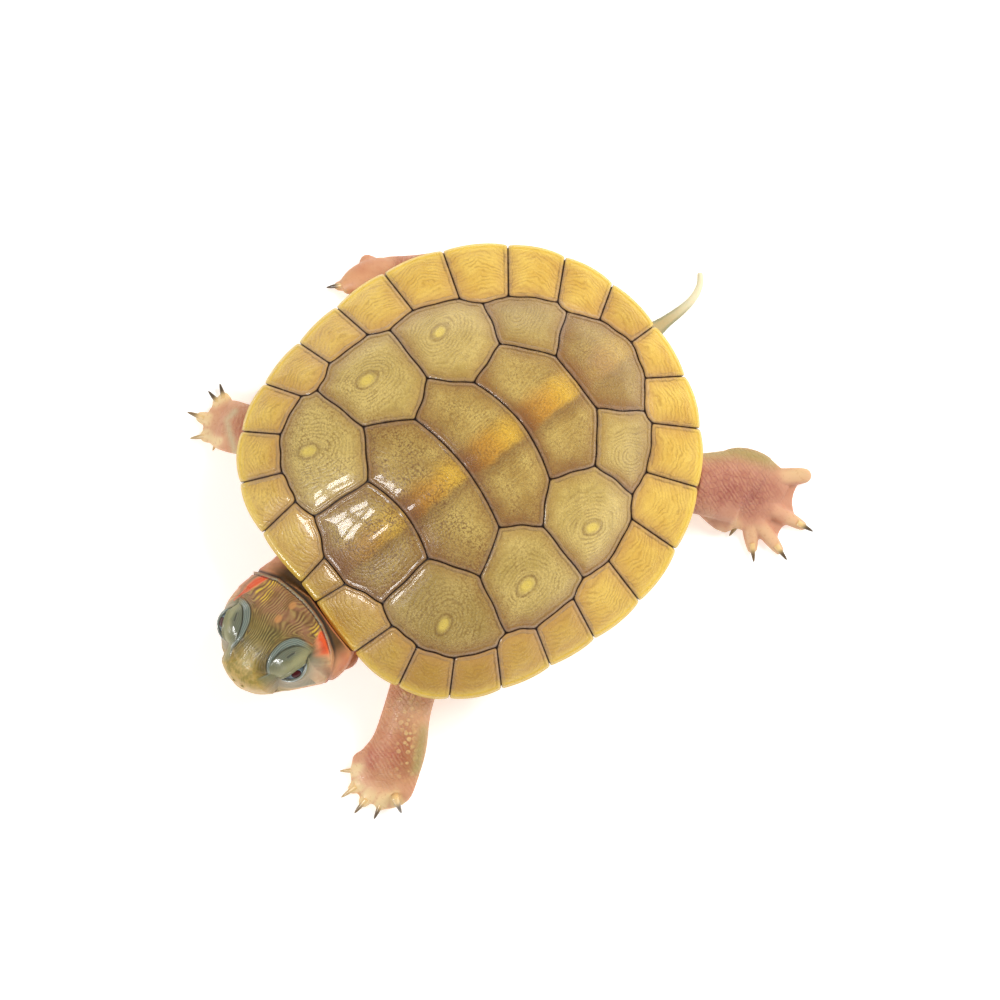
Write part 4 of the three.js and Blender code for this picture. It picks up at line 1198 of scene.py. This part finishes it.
# Pale spots on the crown: left, forward, radius. Red stripes: left, forward, half width.
CROWN_SPOTS = ((0.25, -2.45, 0.26), (0.47, -3.9, 0.24))
RED_STRIPES = (
    ((-2.6, -4.8, 0.2), (-2.95, -4.1, 0.33), (-3.2, -3.3, 0.24), (-3.5, -2.6, 0.1), (-3.75, -1.9, 0.06)),
    ((3.5, -3.45, 0.22), (3.85, -3.0, 0.4), (4.2, -2.5, 0.42), (4.45, -1.95, 0.25)))
LIMB_MARKS = {
    "front_left": dict(
        deep=((12.6, -20.6, 1.0), (13.6, -19.0, 1.4), (12.2, -21.4, 0.8)), cream=((11.7, -15.6, 1.5),),
        olive=((13.4, -16.1), (15.4, -18.3)), olive_width=0.5, lean=-0.8, crinkle=1.0, pads=1.0),
    "front_right": dict(
        deep=((-12.9, -12.5, 1.2), (-14.4, -14.0, 0.7)), cream=((-15.2, -14.5, 1.7),),
        olive=((-14.5, -12.6), (-14.4, -13.5), (-12.5, -14.3), (-11.8, -14.6)),
        olive_width=0.28, lean=0.3, crinkle=0.8, pads=1.0),
    "hind_left": dict(
        deep=((14.9, 14.6, 1.5), (13.2, 13.2, 1.8), (11.0, 11.4, 1.6)), cream=((14.0, 10.9, 0.8),),
        olive=((10.0, 13.9), (11.2, 15.8), (13.4, 17.5), (15.4, 19.0)),
        olive_width=0.75, lean=0.9, crinkle=0.6, pads=0.8),
    "hind_right": dict(
        deep=((-13.6, 3.6, 1.2),), cream=((-15.4, 2.0, 1.2),),
        olive=((-17.4, -0.9), (-16.7, -0.4)), olive_width=0.35, lean=0.3, crinkle=0.6, pads=0.4)}
DOT_PATH = ((10.2, -14.8), (11.5, -16.2), (13.3, -17.5), (14.7, -18.9))


def flow_lines(left, forward):
    """A value whose level lines run along the head and round each eye."""
    value = left
    for side in (1, -1):
        across, ahead = left - side * 2.75, forward + 0.4
        value = value - 1.2 * across / np.maximum(across ** 2 + ahead ** 2, 1.2)
    return value + 0.1 * (forward + 1.5) * smoothstep(-2.0, -3.2, forward)


def stripe_share(flat, stripe, wobble):
    """1 on a stripe given by points and half widths, 0 away from it."""
    path = spline(stripe, 24)
    away = np.min(np.linalg.norm(flat[:, None] - path[None, :, :2], axis=2) / path[None, :, 2], axis=1)
    return smoothstep(1.6, 0.5, away + 0.25 * wobble)


def limb_marks(points, wobble):
    """Masks of the limbs: blotches, toe pads, and creases that run across each leg."""
    flat = points[:, :2]
    names = ("deep", "cream", "olive", "scaly", "crease_share", "creases")
    marks = {name: np.zeros(len(points)) for name in names}

    def at_least(name, values):
        marks[name] = np.maximum(marks[name], values)

    for limb_name, limb in LIMBS.items():
        paint = LIMB_MARKS[limb_name]
        route = [row[:2] for row in (*limb["leg"], limb["sole"][0])]
        toes = [path_distance(flat, [row[:2] for row in path]) for path in toe_paths(limb)]
        near_toe = np.min(toes, axis=0)
        near = np.minimum(path_distance(flat, route), near_toe)
        inside = smoothstep(4.8, 3.9, near) * (points[:, 2] < 6.5) * (lengths(flat) > 12.5)
        # Pads cover the outer part of the fan of toes, by share of the way from heel to tips.
        heel = np.array(limb["leg"][-1][:2])
        tips = np.array(limb["toes"]) - heel
        middle = np.mean(tips, axis=0)
        to_middle = np.array([[middle[0], -middle[1]], [middle[1], middle[0]]])
        turn, tip_turn = (np.arctan2(*(rows @ to_middle).T[::-1]) for rows in (flat - heel, tips))
        order = np.argsort(tip_turn)
        share = lengths(flat - heel) / np.interp(turn, tip_turn[order], lengths(tips)[order])
        widest = np.abs(tip_turn).max()
        pads = inside * smoothstep(0.3, 0.66, share + 0.08 * wobble)
        pads = pads * smoothstep(widest + 0.7, widest + 0.1, np.abs(turn))
        between = smoothstep(0.3, 0.75, near_toe) * smoothstep(1.0, 0.75, share)
        at_least("cream", paint["pads"] * pads * (1 - 0.4 * between))
        for name, strength in (("deep", 1.0), ("cream", 0.65)):
            for x, y, radius in paint[name]:
                at_least(name, strength * inside * bell(lengths(flat - (x, y)), radius))
        at_least("olive", inside * bell(path_distance(flat, paint["olive"]), paint["olive_width"]))
        at_least("scaly", inside * (1 - pads))
        at_least("crease_share", inside * (1 - pads) * paint["crinkle"])
        along = heel - np.array(limb["leg"][0][:2])
        along = along / np.linalg.norm(along)
        across = flat @ np.array([-along[1], along[0]])
        marks["creases"] = np.where(inside > 0, flat @ along + paint["lean"] * across, marks["creases"])
    return marks


def skin_marks(points, normals):
    """Smooth masks that the skin's finish turns into colours."""
    local = to_head(points)
    left, forward, up = local.T
    head_up = normals @ HEAD_TURN[:3, 2]
    on_head = smoothstep(-5.6, -4.9, forward) * (points[:, 1] < -15) * (np.abs(left) < 6.3)
    behind = collar_measure(points)
    front = (points[:, 1] < -11) & (np.abs(points[:, 0] - 1) < 7.0)
    on_head = on_head * smoothstep(0.05, -0.1, behind)
    wobble = value_noise(points, 0.9, 5)
    crown = on_head * smoothstep(0.1, 0.65, head_up + 0.15 * wobble)
    crown = crown * smoothstep(4.3, 3.5, np.abs(left + 0.05 * forward))
    marks = {"crown": crown, "snout": on_head * smoothstep(0.2, 1.6, forward),
             "front": on_head * smoothstep(-2.9, -1.2, forward)}
    names = ("lid", "ridge", "under", "band", "lens", "rim", "ring")
    marks.update({name: np.zeros(len(points)) for name in names})
    dark, pits = np.zeros(len(points)), np.zeros(len(points))
    lines = flow_lines(left, forward)
    for side in (1, -1):
        reach, ray, x, y, opening = eye_measures(local, side)
        near = smoothstep(3.3, 2.6, reach) * (side * left > 0.3)
        crease, crease_run = ring_gap(local, side, LID_CREASE)
        fold, fold_run = ring_gap(local, side, EYE_FOLD)
        soft = 0.1 + 0.6 * smoothstep(2.4, 3.6, side * left)
        within = near * smoothstep(0.06, -1.0, fold / soft) * smoothstep(-1.3, -0.9, up)
        shares = {
            "lid": within,
            "band": near * fold_run * smoothstep(-0.02, 0.08, crease) * smoothstep(0.08, -0.12, fold)
                    * smoothstep(3.3, 2.6, side * left),
            "lens": near * crease_run * smoothstep(0.02, -0.05, crease) * smoothstep(-1.15, -0.6, crease),
            "ridge": within * bell(opening - 0.5, 0.36) * smoothstep(-0.2, 0.3, y),
            "under": near * smoothstep(0.1, -0.5, y) * smoothstep(0.2, 0.6, opening)
                     * smoothstep(1.5, 0.6, opening) * smoothstep(-2.1, -1.2, forward),
            "rim": near * bell(opening - 0.08, 0.06) * smoothstep(0.3, -0.1, y),
            "ring": near * bell(fold - 0.02, 0.07) * smoothstep(-1.2, -1.8, forward)
                    * smoothstep(2.4, 3.2, side * left),
        }
        for name, share in shares.items():
            marks[name] = np.maximum(marks[name], share)
        corner = smoothstep(0.85, 1.0, np.abs(x)) * smoothstep(2.3, 1.5, np.abs(x))
        slit = (0.35 + 0.45 * smoothstep(-0.1, 0.2, y)) * bell(opening, 0.04)
        slit = slit + 0.85 * bell(y, 0.035 + 0.05 * smoothstep(2.2, 1.2, x)) * corner
        slit = slit + 0.75 * crease_run * bell(crease, 0.05) * (opening > 0.3)
        slit = slit + 0.65 * fold_run * bell(fold, 0.04) * smoothstep(3.3, 2.4, side * left) * (opening > 0.3)
        mark = path_distance(local[:, :2] * (side, 1), LID_SLIT)
        slit = slit + 0.7 * bell(mark, 0.05) * (head_up > 0.3)
        dark = np.maximum(dark, near * np.clip(slit, 0, 1))
        pit = lengths((local[:, :2] * (side, 1) - PIT_IN_FRONT_OF_EYE) * (1.0, 0.8))
        pits = np.maximum(pits, (0.95 if side > 0 else 0.45) * bell(pit, 0.55))
        hug = smoothstep(0.5, 0.0, fold) * near
        lines = lines * (1 - hug) + hug * side * (fold + 1.35)
    marks["pit"] = pits * on_head * (1 - 0.7 * marks["lid"])
    spots = np.zeros(len(points))
    for spot_left, spot_forward, radius in CROWN_SPOTS:
        away = np.hypot(left - spot_left, (forward - spot_forward) / 1.3)
        lines = lines + 0.5 * bell(away, 0.55)
        spots = np.maximum(spots, smoothstep(radius + 0.07, radius - 0.1, away + 0.05 * wobble))
    marks["lines"] = lines + 0.05 * value_noise(local, 0.8, 9)
    nape = smoothstep(-2.4, -3.2, forward)
    yellow = nape * (smoothstep(0.6, 0.2, np.abs(left - 3.0)) + smoothstep(1.0, 0.5, np.abs(left + 2.0)))
    marks["yellow"] = crown * np.clip(yellow, 0, 1)
    between_eyes = smoothstep(-1.4, 0.6, forward) * smoothstep(2.4, 1.4, forward)
    marks["gold"] = crown * bell(left + 0.15, 0.75) * between_eyes
    red = np.zeros(len(points))
    upper = (points[:, 1] < -15) & (head_up > -0.5)
    stripes = [stripe_share(local[upper, :2], stripe, wobble[upper]) for stripe in RED_STRIPES]
    red[upper] = np.maximum(*stripes)
    marks["red"] = red * on_head
    level, ahead = mouth_measure(local)
    dark = np.maximum(dark, on_head * ahead * bell(level, 0.05) * 0.85 * (np.abs(head_up) < 0.85))
    for side in (1, -1):
        dark = np.maximum(dark, bell(lengths(local - NOSTRIL * np.array((side, 1, 1))), 0.09))
    high = smoothstep(3.0, 4.5, points[:, 2]) * front
    left_end = smoothstep(4.9, 3.9, points[:, 0])
    # Painted shade: a dark crease in front of the collar fold and the shadow of the shell's front edge behind
    # it.
    collar_fold_shade = 0.85 * bell(behind + 0.13, 0.05) + 0.85 * bell(behind - 0.18, 0.12)
    dark = np.maximum(dark, high * (0.3 + 0.7 * left_end) * collar_fold_shade)
    # Painted highlight: a pale line along the edge of the collar fold.
    marks["pale"] = high * bell(behind, 0.075) * left_end
    marks["spot"] = spots * crown
    marks["dark"] = np.clip(dark, 0, 1)
    # Painted shade on top of the neck, from the shell's front edge over it, on olive-brown skin.
    neck = front * smoothstep(-0.1, 0.1, behind) * smoothstep(-11.0, -12.5, points[:, 1])
    neck = neck * smoothstep(0.25, 0.85, normals[:, 2])
    marks["neck"] = neck * smoothstep(4.7, 3.2, np.abs(points[:, 0] - 1.1))
    marks.update(limb_marks(points, wobble))
    flat = points[:, :2]
    tail_line = path_distance(flat, [row[:2] for row in TAIL])
    tail = (points[:, 1] > 13.5) * smoothstep(1.6, 1.2, tail_line)
    tail_width = np.interp(points[:, 1], [row[1] for row in TAIL], [row[3] for row in TAIL])
    tail_side = smoothstep(0.35, 0.9, tail_line / tail_width)
    marks["tail"] = tail
    marks["tail_edge"] = tail * tail_side * smoothstep(21.0, 18.0, points[:, 1])
    marks["below"] = smoothstep(0.2, -0.5, normals[:, 2]) * (1 - on_head)
    seen = 1 - 0.85 * marks["below"]
    marks.update(deep=marks["deep"] * seen, olive=marks["olive"] * seen)
    marks["head"] = on_head
    marks["cheek"] = on_head * smoothstep(-1.6, -3.2, forward)
    marks["dots"] = seen * (points[:, 2] > 0.5) * bell(path_distance(flat, DOT_PATH), 0.95)
    return marks


def skin_finish():
    finish = Finish("turtle_skin", Roughness=0.42, Coat_Weight=0.2, Coat_Roughness=0.06, IOR=1.42,
                    Subsurface_Weight=0.12, Subsurface_Scale=0.4 * MM)
    finish.shader.inputs["Subsurface Radius"].default_value = (1.0, 0.45, 0.25)
    mark = finish.attributes(
        "crown snout front lid ridge under band lens rim ring pit dark lines yellow gold red pale spot"
        " neck deep cream olive scaly creases crease_share tail tail_edge below head cheek dots")
    fine = finish.noise(3.0)
    limb_relief = paint_limbs(finish, mark, fine)
    # Tail: olive cream with greener edges and a pale tip.
    tail_tone = finish.mix(finish.axis("Y").ramp(17.0, 21.5), (188, 168, 122), (236, 228, 192))
    finish.over(mark.tail, tail_tone)
    finish.over(mark.tail_edge * 0.75, (120, 130, 94))
    # Painted shade from the shell's front edge on top of the neck, over olive-brown skin.
    finish.over(mark.neck, (92, 66, 36))
    gap_share = paint_head(finish, mark, fine)
    paint_eyes(finish, mark, fine)
    red = finish.mix((finish.noise(1.6) * 0.7 + mark.red).ramp(0.7, 1.4), (226, 140, 92), (222, 84, 36))
    finish.over(mark.red.ramp(0.0, 0.7) * 0.92, red)
    # Painted highlight along the edge of the collar fold.
    finish.over(mark.pale * finish.noise(4.5, 2.0).ramp(0.42, 0.6, 0.35, 1.0), (148, 148, 116))
    # Dark lines round the lids, mouth and nostrils, and painted shade round the collar fold.
    finish.over(mark.dark, (44, 40, 36))
    relief = limb_relief + gap_share * -0.7 + finish.noise(7.0) * 0.35
    gloss = mark.lens.maximum(mark.band).maximum(mark.rim)
    finish.bump(relief * gloss.ramp(0.0, 1.0, 1.0, 0.25), 0.5, 0.07)
    finish.feed(finish.shader.inputs["Roughness"], gloss.ramp(0.0, 1.0, 0.46, 0.3))
    sheen = gloss.maximum(mark.head * 0.14)
    finish.feed(finish.shader.inputs["Coat Weight"], sheen.ramp(0.0, 1.0, 0.03, 1.0))
    return finish.done()


def paint_limbs(finish, mark, fine):
    """Pink skin with crinkled creases, pale scale tops, then cream toes; gives their relief."""
    broad = finish.noise(0.5, 2.0).ramp(0.35, 0.65)
    rear = finish.axis("Y").ramp(0.0, 9.0)
    fore_tone = finish.mix(broad, (200, 128, 92), (212, 152, 108))
    rear_tone = finish.mix(broad, (178, 116, 96), (192, 134, 112))
    finish.colour = finish.mix(rear, fore_tone, rear_tone)
    finish.over(mark.below, (222, 172, 136))
    deep_share = mark.deep * finish.noise(1.3, 2.0).ramp(0.3, 0.7, 0.5, 0.95)
    finish.over(deep_share, finish.mix(rear, (182, 88, 66), (152, 82, 72)))
    crinkle = (finish.noise(0.8, 2.0) * 0.7 + (fine * 0.2 + mark.creases)).waves(0.36, 1.4)
    crinkle = crinkle * finish.noise(1.4, 2.0).ramp(0.35, 0.65, 0.25, 1.0) * mark.crease_share
    finish.over(crinkle * 0.42, (234, 186, 150))
    scale_share = finish.cells(2.1, "DISTANCE_TO_EDGE").ramp(0.02, 0.16) * mark.scaly
    finish.over(scale_share * 0.12, (216, 168, 116))
    dot = finish.cells(2.4).ramp(0.34, 0.52, 1.0, 0.0)
    dot = dot * finish.noise(1.5, 2.0).ramp(0.35, 0.55, 0.35, 1.0) * mark.dots
    finish.over(mark.dots * 0.55, (162, 98, 56))
    finish.over(dot * 0.8, (232, 196, 132))
    olive_tone = finish.mix(finish.axis("X").ramp(-1.0, 1.0), (206, 190, 146), (166, 150, 90))
    finish.over(mark.olive * 0.8, olive_tone)
    fullness = mark.cream.ramp(0.5, 1.0)
    fore_cream = finish.mix(fullness, (238, 190, 148), (244, 214, 160))
    rear_cream = finish.mix(fullness, (228, 176, 140), (234, 200, 150))
    cream_tone = finish.mix(rear, fore_cream, rear_cream)
    speckle = finish.noise(4.0, 2.0).ramp(0.55, 0.7, 0.0, 0.35)
    finish.over(mark.cream * 0.92, finish.mix(speckle, cream_tone, (204, 140, 100)))
    return scale_share * 0.9 + crinkle * 0.6 + dot * 1.6


def paint_head(finish, mark, fine):
    """Sides, crown and the crown's lines; gives the share of the gaps between the lines."""
    side_tone = finish.mix(fine.ramp(0.35, 0.65), (214, 162, 116), (226, 186, 134))
    veins = (finish.noise(1.2) * 0.5 + mark.lines).waves(0.3, 1.5)
    cheek_tone = finish.mix(veins * 0.6, (204, 124, 88), (222, 170, 120))
    side_tone = finish.mix(mark.cheek * 0.85, side_tone, cheek_tone)
    side_tone = finish.mix(mark.snout * 0.6, side_tone, (204, 176, 112))
    finish.over(mark.head, side_tone)
    patches = finish.noise(1.0)
    top = finish.mix(patches.ramp(0.4, 0.62), (128, 90, 56), (150, 106, 76))
    olive_tone = finish.mix(patches.ramp(0.38, 0.62), (84, 80, 36), (116, 102, 44))
    top = finish.mix(mark.front * 0.85, top, olive_tone)
    mottle = finish.mix(finish.noise(2.2).ramp(0.4, 0.6), (160, 138, 48), (202, 168, 84))
    top = finish.mix(mark.snout * 0.9, top, mottle)
    finish.over(mark.crown, top)
    finish.over(mark.gold * 0.35, (176, 152, 54))
    wander = finish.noise(1.1, 1.0) * 0.26 + (finish.noise(0.4, 1.0) * 1.3 + mark.lines)
    broken = finish.noise(1.7).ramp(0.32, 0.66, 0.15, 1.0) * mark.snout.ramp(0.0, 1.0, 1.0, 0.4)
    share = broken * mark.crown * (1.0 - mark.lid)
    line_share = wander.waves(0.25, 1.4) * share
    gap_share = (wander + 0.125).waves(0.25, 1.8) * share
    finish.over(line_share * 0.55, (178, 158, 92))
    finish.over(gap_share * 0.6, (78, 56, 32))
    finish.over(line_share * mark.yellow, (220, 184, 60))
    finish.over(mark.pit * 0.75, (82, 66, 34))
    finish.over(mark.spot * 0.85, (190, 134, 80))
    return gap_share


def paint_eyes(finish, mark, fine):
    """Lids and the glassy bulges over the eyes."""
    streak = (fine * 0.1 + mark.lines).waves(0.14, 1.0)
    finish.over(mark.lid * 0.92, finish.mix(streak * 0.5, (106, 108, 82), (144, 142, 104)))
    finish.over(mark.ridge * 0.8, (158, 154, 112))
    finish.over(mark.under * 0.7, (186, 168, 144))
    finish.over(mark.lens * 0.85, finish.mix(streak * 0.45, (92, 96, 78), (122, 124, 98)))
    finish.over(mark.band * 0.85, finish.mix(streak * 0.9, (80, 94, 90), (138, 148, 134)))
    finish.over(mark.rim * 0.7, (176, 190, 190))
    finish.over(mark.ring * 0.5, (200, 128, 78))


SKIN_NODES = ["trunk", "head", "lower_jaw", "neck", "tail"] + [
    f"{part}_{name}" for name in LIMBS for part in ("leg", "foot")]


def build_skin():
    parts = [trunk_solid(), head_tube(), oval_tube(NECK, 40, 48)]
    for side, _ in SIDES:
        points, faces = ellipsoid((1.3, 1.85, 1.5))
        brow = from_head([(side * 2.45, -0.6, 0.3)])
        parts.append((points @ HEAD_TURN[:3, :3].T + brow, faces))
    parts.append(oval_tube(TAIL, 60, 20))
    for limb in LIMBS.values():
        parts.append(oval_tube(limb["leg"] + limb["sole"], 60, 32))
        parts += [oval_tube(path, 24, 16) for path in toe_paths(limb)]
        parts.append(web_sheet(limb))
        if limb["pad"]:
            parts.append(oval_tube(limb["pad"], 24, 24))
    mesh = fused(parts, VOXEL)
    pairs = read_mesh(mesh.edges, "vertices", 2, np.int32)
    points = smoothed(mesh_points(mesh), pairs, 5)
    pads = [[row[:2] for row in limb["pad"][:-1]] for limb in LIMBS.values() if limb["pad"]]
    beside_pad = np.min([path_distance(points[:, :2], line) for line in pads], axis=0)
    points = smoothed(points, pairs, 40, smoothstep(2.0, 0.9, beside_pad) * (points[:, 2] < 4.5))
    place_vertices(mesh, points)
    subdivided(mesh, (to_head(points)[:, 1] > -5.4) & (points[:, 1] < -15))
    local = to_head(mesh_points(mesh))
    close = [lengths(local - np.array(EYE_PLACE) * (side, 1, 1)) < 2.7 for side, _ in SIDES]
    subdivided(mesh, (close[0] | close[1]) & (local[:, 2] > -1.4))
    points = mesh_points(mesh)
    on_head = smoothstep(-5.6, -5.0, to_head(points)[:, 1]) * (points[:, 1] < -15)
    points = smoothed(points, read_mesh(mesh.edges, "vertices", 2, np.int32), 8, on_head)
    place_vertices(mesh, points)
    points = keep_clear(sculpt_head(points, unit_normals(mesh)))
    place_vertices(mesh, points)
    marks = skin_marks(points, unit_normals(mesh))
    place_vertices(mesh, points * MM)
    finish_mesh(mesh, skin_finish(), marks)
    hand_over(link_to_scene("skin", mesh), "body_skin", *SKIN_NODES)


def unit_normals(mesh):
    normals = np.empty(len(mesh.vertices) * 3, dtype=np.float32)
    mesh.vertex_normals.foreach_get("vector", normals)
    return normals.reshape(-1, 3).astype(float)


# ---- claws and eyes --------------------------------------------------------


def claw_finish():
    finish = Finish("claw_horn", Roughness=0.3, Coat_Weight=0.3, Coat_Roughness=0.1)
    along, darkness = finish.attribute("along"), finish.attribute("darkness")
    shade = along.ramp(0.2, 0.7) * darkness.ramp(0.0, 0.8, 0.25, 1.0)
    finish.colour = finish.mix(shade, (232, 196, 134), (146, 112, 66))
    finish.over(along.ramp(0.22, 0.62) * darkness * 0.92, (74, 58, 40))
    return finish.done()


def claw_rows(root, tip, lift):
    """Stations of a claw from inside its toe down to its point: place and half sizes."""
    direction = (tip - root) / np.linalg.norm(tip - root)
    rows = []
    for step in np.linspace(0, 1, 14):
        back = (1 - step) * (CLAW_LENGTH + 0.5)
        height = 0.3 + (0.46 + lift) * (1 - step) ** 0.7
        radius = (0.26 + 0.05 * lift) * (1 - step) ** 0.6 + 0.035
        rows.append((*(tip - direction * back), height, radius * 0.85, radius))
    return rows


def build_claws():
    material = claw_finish()
    rings, sides = 16, 14
    along = np.append(np.repeat(np.linspace(0, 1, rings), sides), (0, 1))
    for name, limb in LIMBS.items():
        claws, darkness = [], []
        for number, path in enumerate(toe_paths(limb)):
            if number != limb["clawless"]:
                rows = claw_rows(np.array(path[0][:2]), np.array(limb["toes"][number]),
                                 limb["claw_lift"][number])
                claws.append(oval_tube(rows, rings, sides))
                darkness.append(np.full(len(along), limb["claw_darkness"][number]))
        points, faces = joined(claws)
        piece = add_mesh(f"claws_{name}", points, faces, material,
                         along=np.tile(along, len(claws)), darkness=np.concatenate(darkness))
        hand_over(piece, "foot_skin", f"foot_{name}")


def eye_finish():
    finish = Finish("eye_wet", Roughness=0.08, Coat_Weight=0.35, Coat_Roughness=0.03, IOR=1.33,
                    Specular_IOR_Level=0.15)
    away = finish.attribute("away")
    ring = finish.noise(5.0, 2.0) * 0.08 + away
    finish.colour = finish.mix(ring.ramp(0.42, 0.52), (150, 166, 172), (84, 96, 100))
    finish.over(ring.ramp(0.56, 0.8), (46, 52, 56))
    finish.over(away.ramp(0.42, 0.38), (24, 12, 16))
    finish.over(away.ramp(0.35, 0.28), (66, 6, 10))
    return finish.done()


def build_eyes():
    material = eye_finish()
    for side, word in SIDES:
        points, faces = ellipsoid((EYE_RADIUS,) * 3, rows=64, sides=96)
        unit = points / lengths(points)[:, None] * (side, 1, 1)
        angle = np.arccos(np.clip(unit @ eye_axes(side)[0], -1, 1))
        points = points * (1 + 0.035 * bell(angle, 0.5))[:, None]
        placed = from_head(points + np.array(EYE_PLACE) * (side, 1, 1))
        piece = add_mesh(f"eyeball_{word}", placed, turned(faces), material, away=angle * EYE_RADIUS)
        hand_over(piece, "eye", f"eye_{word}")


build_plastron()
build_skin()
build_claws()
build_eyes()


# ---- camera ----------------------------------------------------------------


def place_camera():
    lean_left, lean_head, turn = 0.0372, 0.06, math.radians(52.15)
    target = Vector((0, 0, 5 * MM))
    distance = 0.26
    pixels_per_metre = 13242.4
    frame_width = 1000
    centre_x, centre_y = 483.34, 458.39
    towards = Vector((math.sin(lean_left), -math.sin(lean_head), 1)).normalized()
    right = Vector((math.cos(turn), math.sin(turn), 0))
    right = (right - towards * right.dot(towards)).normalized()
    up = towards.cross(right)
    place = target + towards * distance
    data = bpy.data.cameras.new("camera")
    data.sensor_width = 36
    data.lens = pixels_per_metre * distance / frame_width * data.sensor_width
    data.shift_x = (frame_width / 2 - centre_x) / frame_width
    data.shift_y = (centre_y - frame_width / 2) / frame_width
    data.clip_start = 0.01
    camera = bpy.data.objects.new("camera", data)
    camera.matrix_world = Matrix([
        (right[k], up[k], towards[k], place[k]) for k in range(3)] + [(0, 0, 0, 1)])
    bpy.context.scene.collection.objects.link(camera)
    bpy.context.scene.camera = camera


place_camera()

# ---- floor and light -------------------------------------------------------


def add_softbox(name, place, size, power, colour=(1, 1, 1), lights=True, reflects=True):
    data = bpy.data.lights.new(name, "AREA")
    data.shape = "SQUARE"
    data.size = size
    data.energy = power
    data.color = colour
    lamp = bpy.data.objects.new(name, data)
    lamp.location = place
    lamp.rotation_euler = (-Vector(place)).to_track_quat("-Z", "Y").to_euler()
    lamp.visible_diffuse = lights
    lamp.visible_glossy = reflects
    bpy.context.scene.collection.objects.link(lamp)


def light_the_set():
    world = bpy.data.worlds.new("studio")
    world.use_nodes = True
    background = world.node_tree.nodes["Background"]
    background.inputs["Color"].default_value = (1, 1, 1, 1)
    background.inputs["Strength"].default_value = 0.46
    bpy.context.scene.world = world
    add_softbox("key", (0.02, 0.22, 0.25), 0.18, 0.93, (1.0, 0.99, 0.965), reflects=False)
    add_softbox("fill", (-0.04, -0.22, 0.17), 0.06, 0.2, reflects=False)
    for number, (across, over) in enumerate(((-1, -1), (1, -1), (-1, 1), (1, 1)), 1):
        pane = (-0.045 + 0.024 * across, -0.225 + 0.011 * over, 0.17 + 0.022 * over)
        add_softbox(f"pane_{number}", pane, 0.036, 0.13, lights=False)
    bpy.context.scene.view_settings.view_transform = "Standard"
    half = 1.0
    corners = [(-half, -half), (half, -half), (half, half), (-half, half)]
    finish = Finish("floor_paper", Roughness=0.9)
    finish.colour = finish.mix(finish.noise(0.02, 2.0), (250, 249, 247), (246, 245, 243))
    finish.shader.inputs["Emission Color"].default_value = (1, 0.995, 0.985, 1)
    finish.shader.inputs["Emission Strength"].default_value = 0.45
    floor = add_mesh("floor", [(x / MM, y / MM, -0.01) for x, y in corners], [np.array([[0, 1, 2, 3]])],
                     finish.done())


light_the_set()
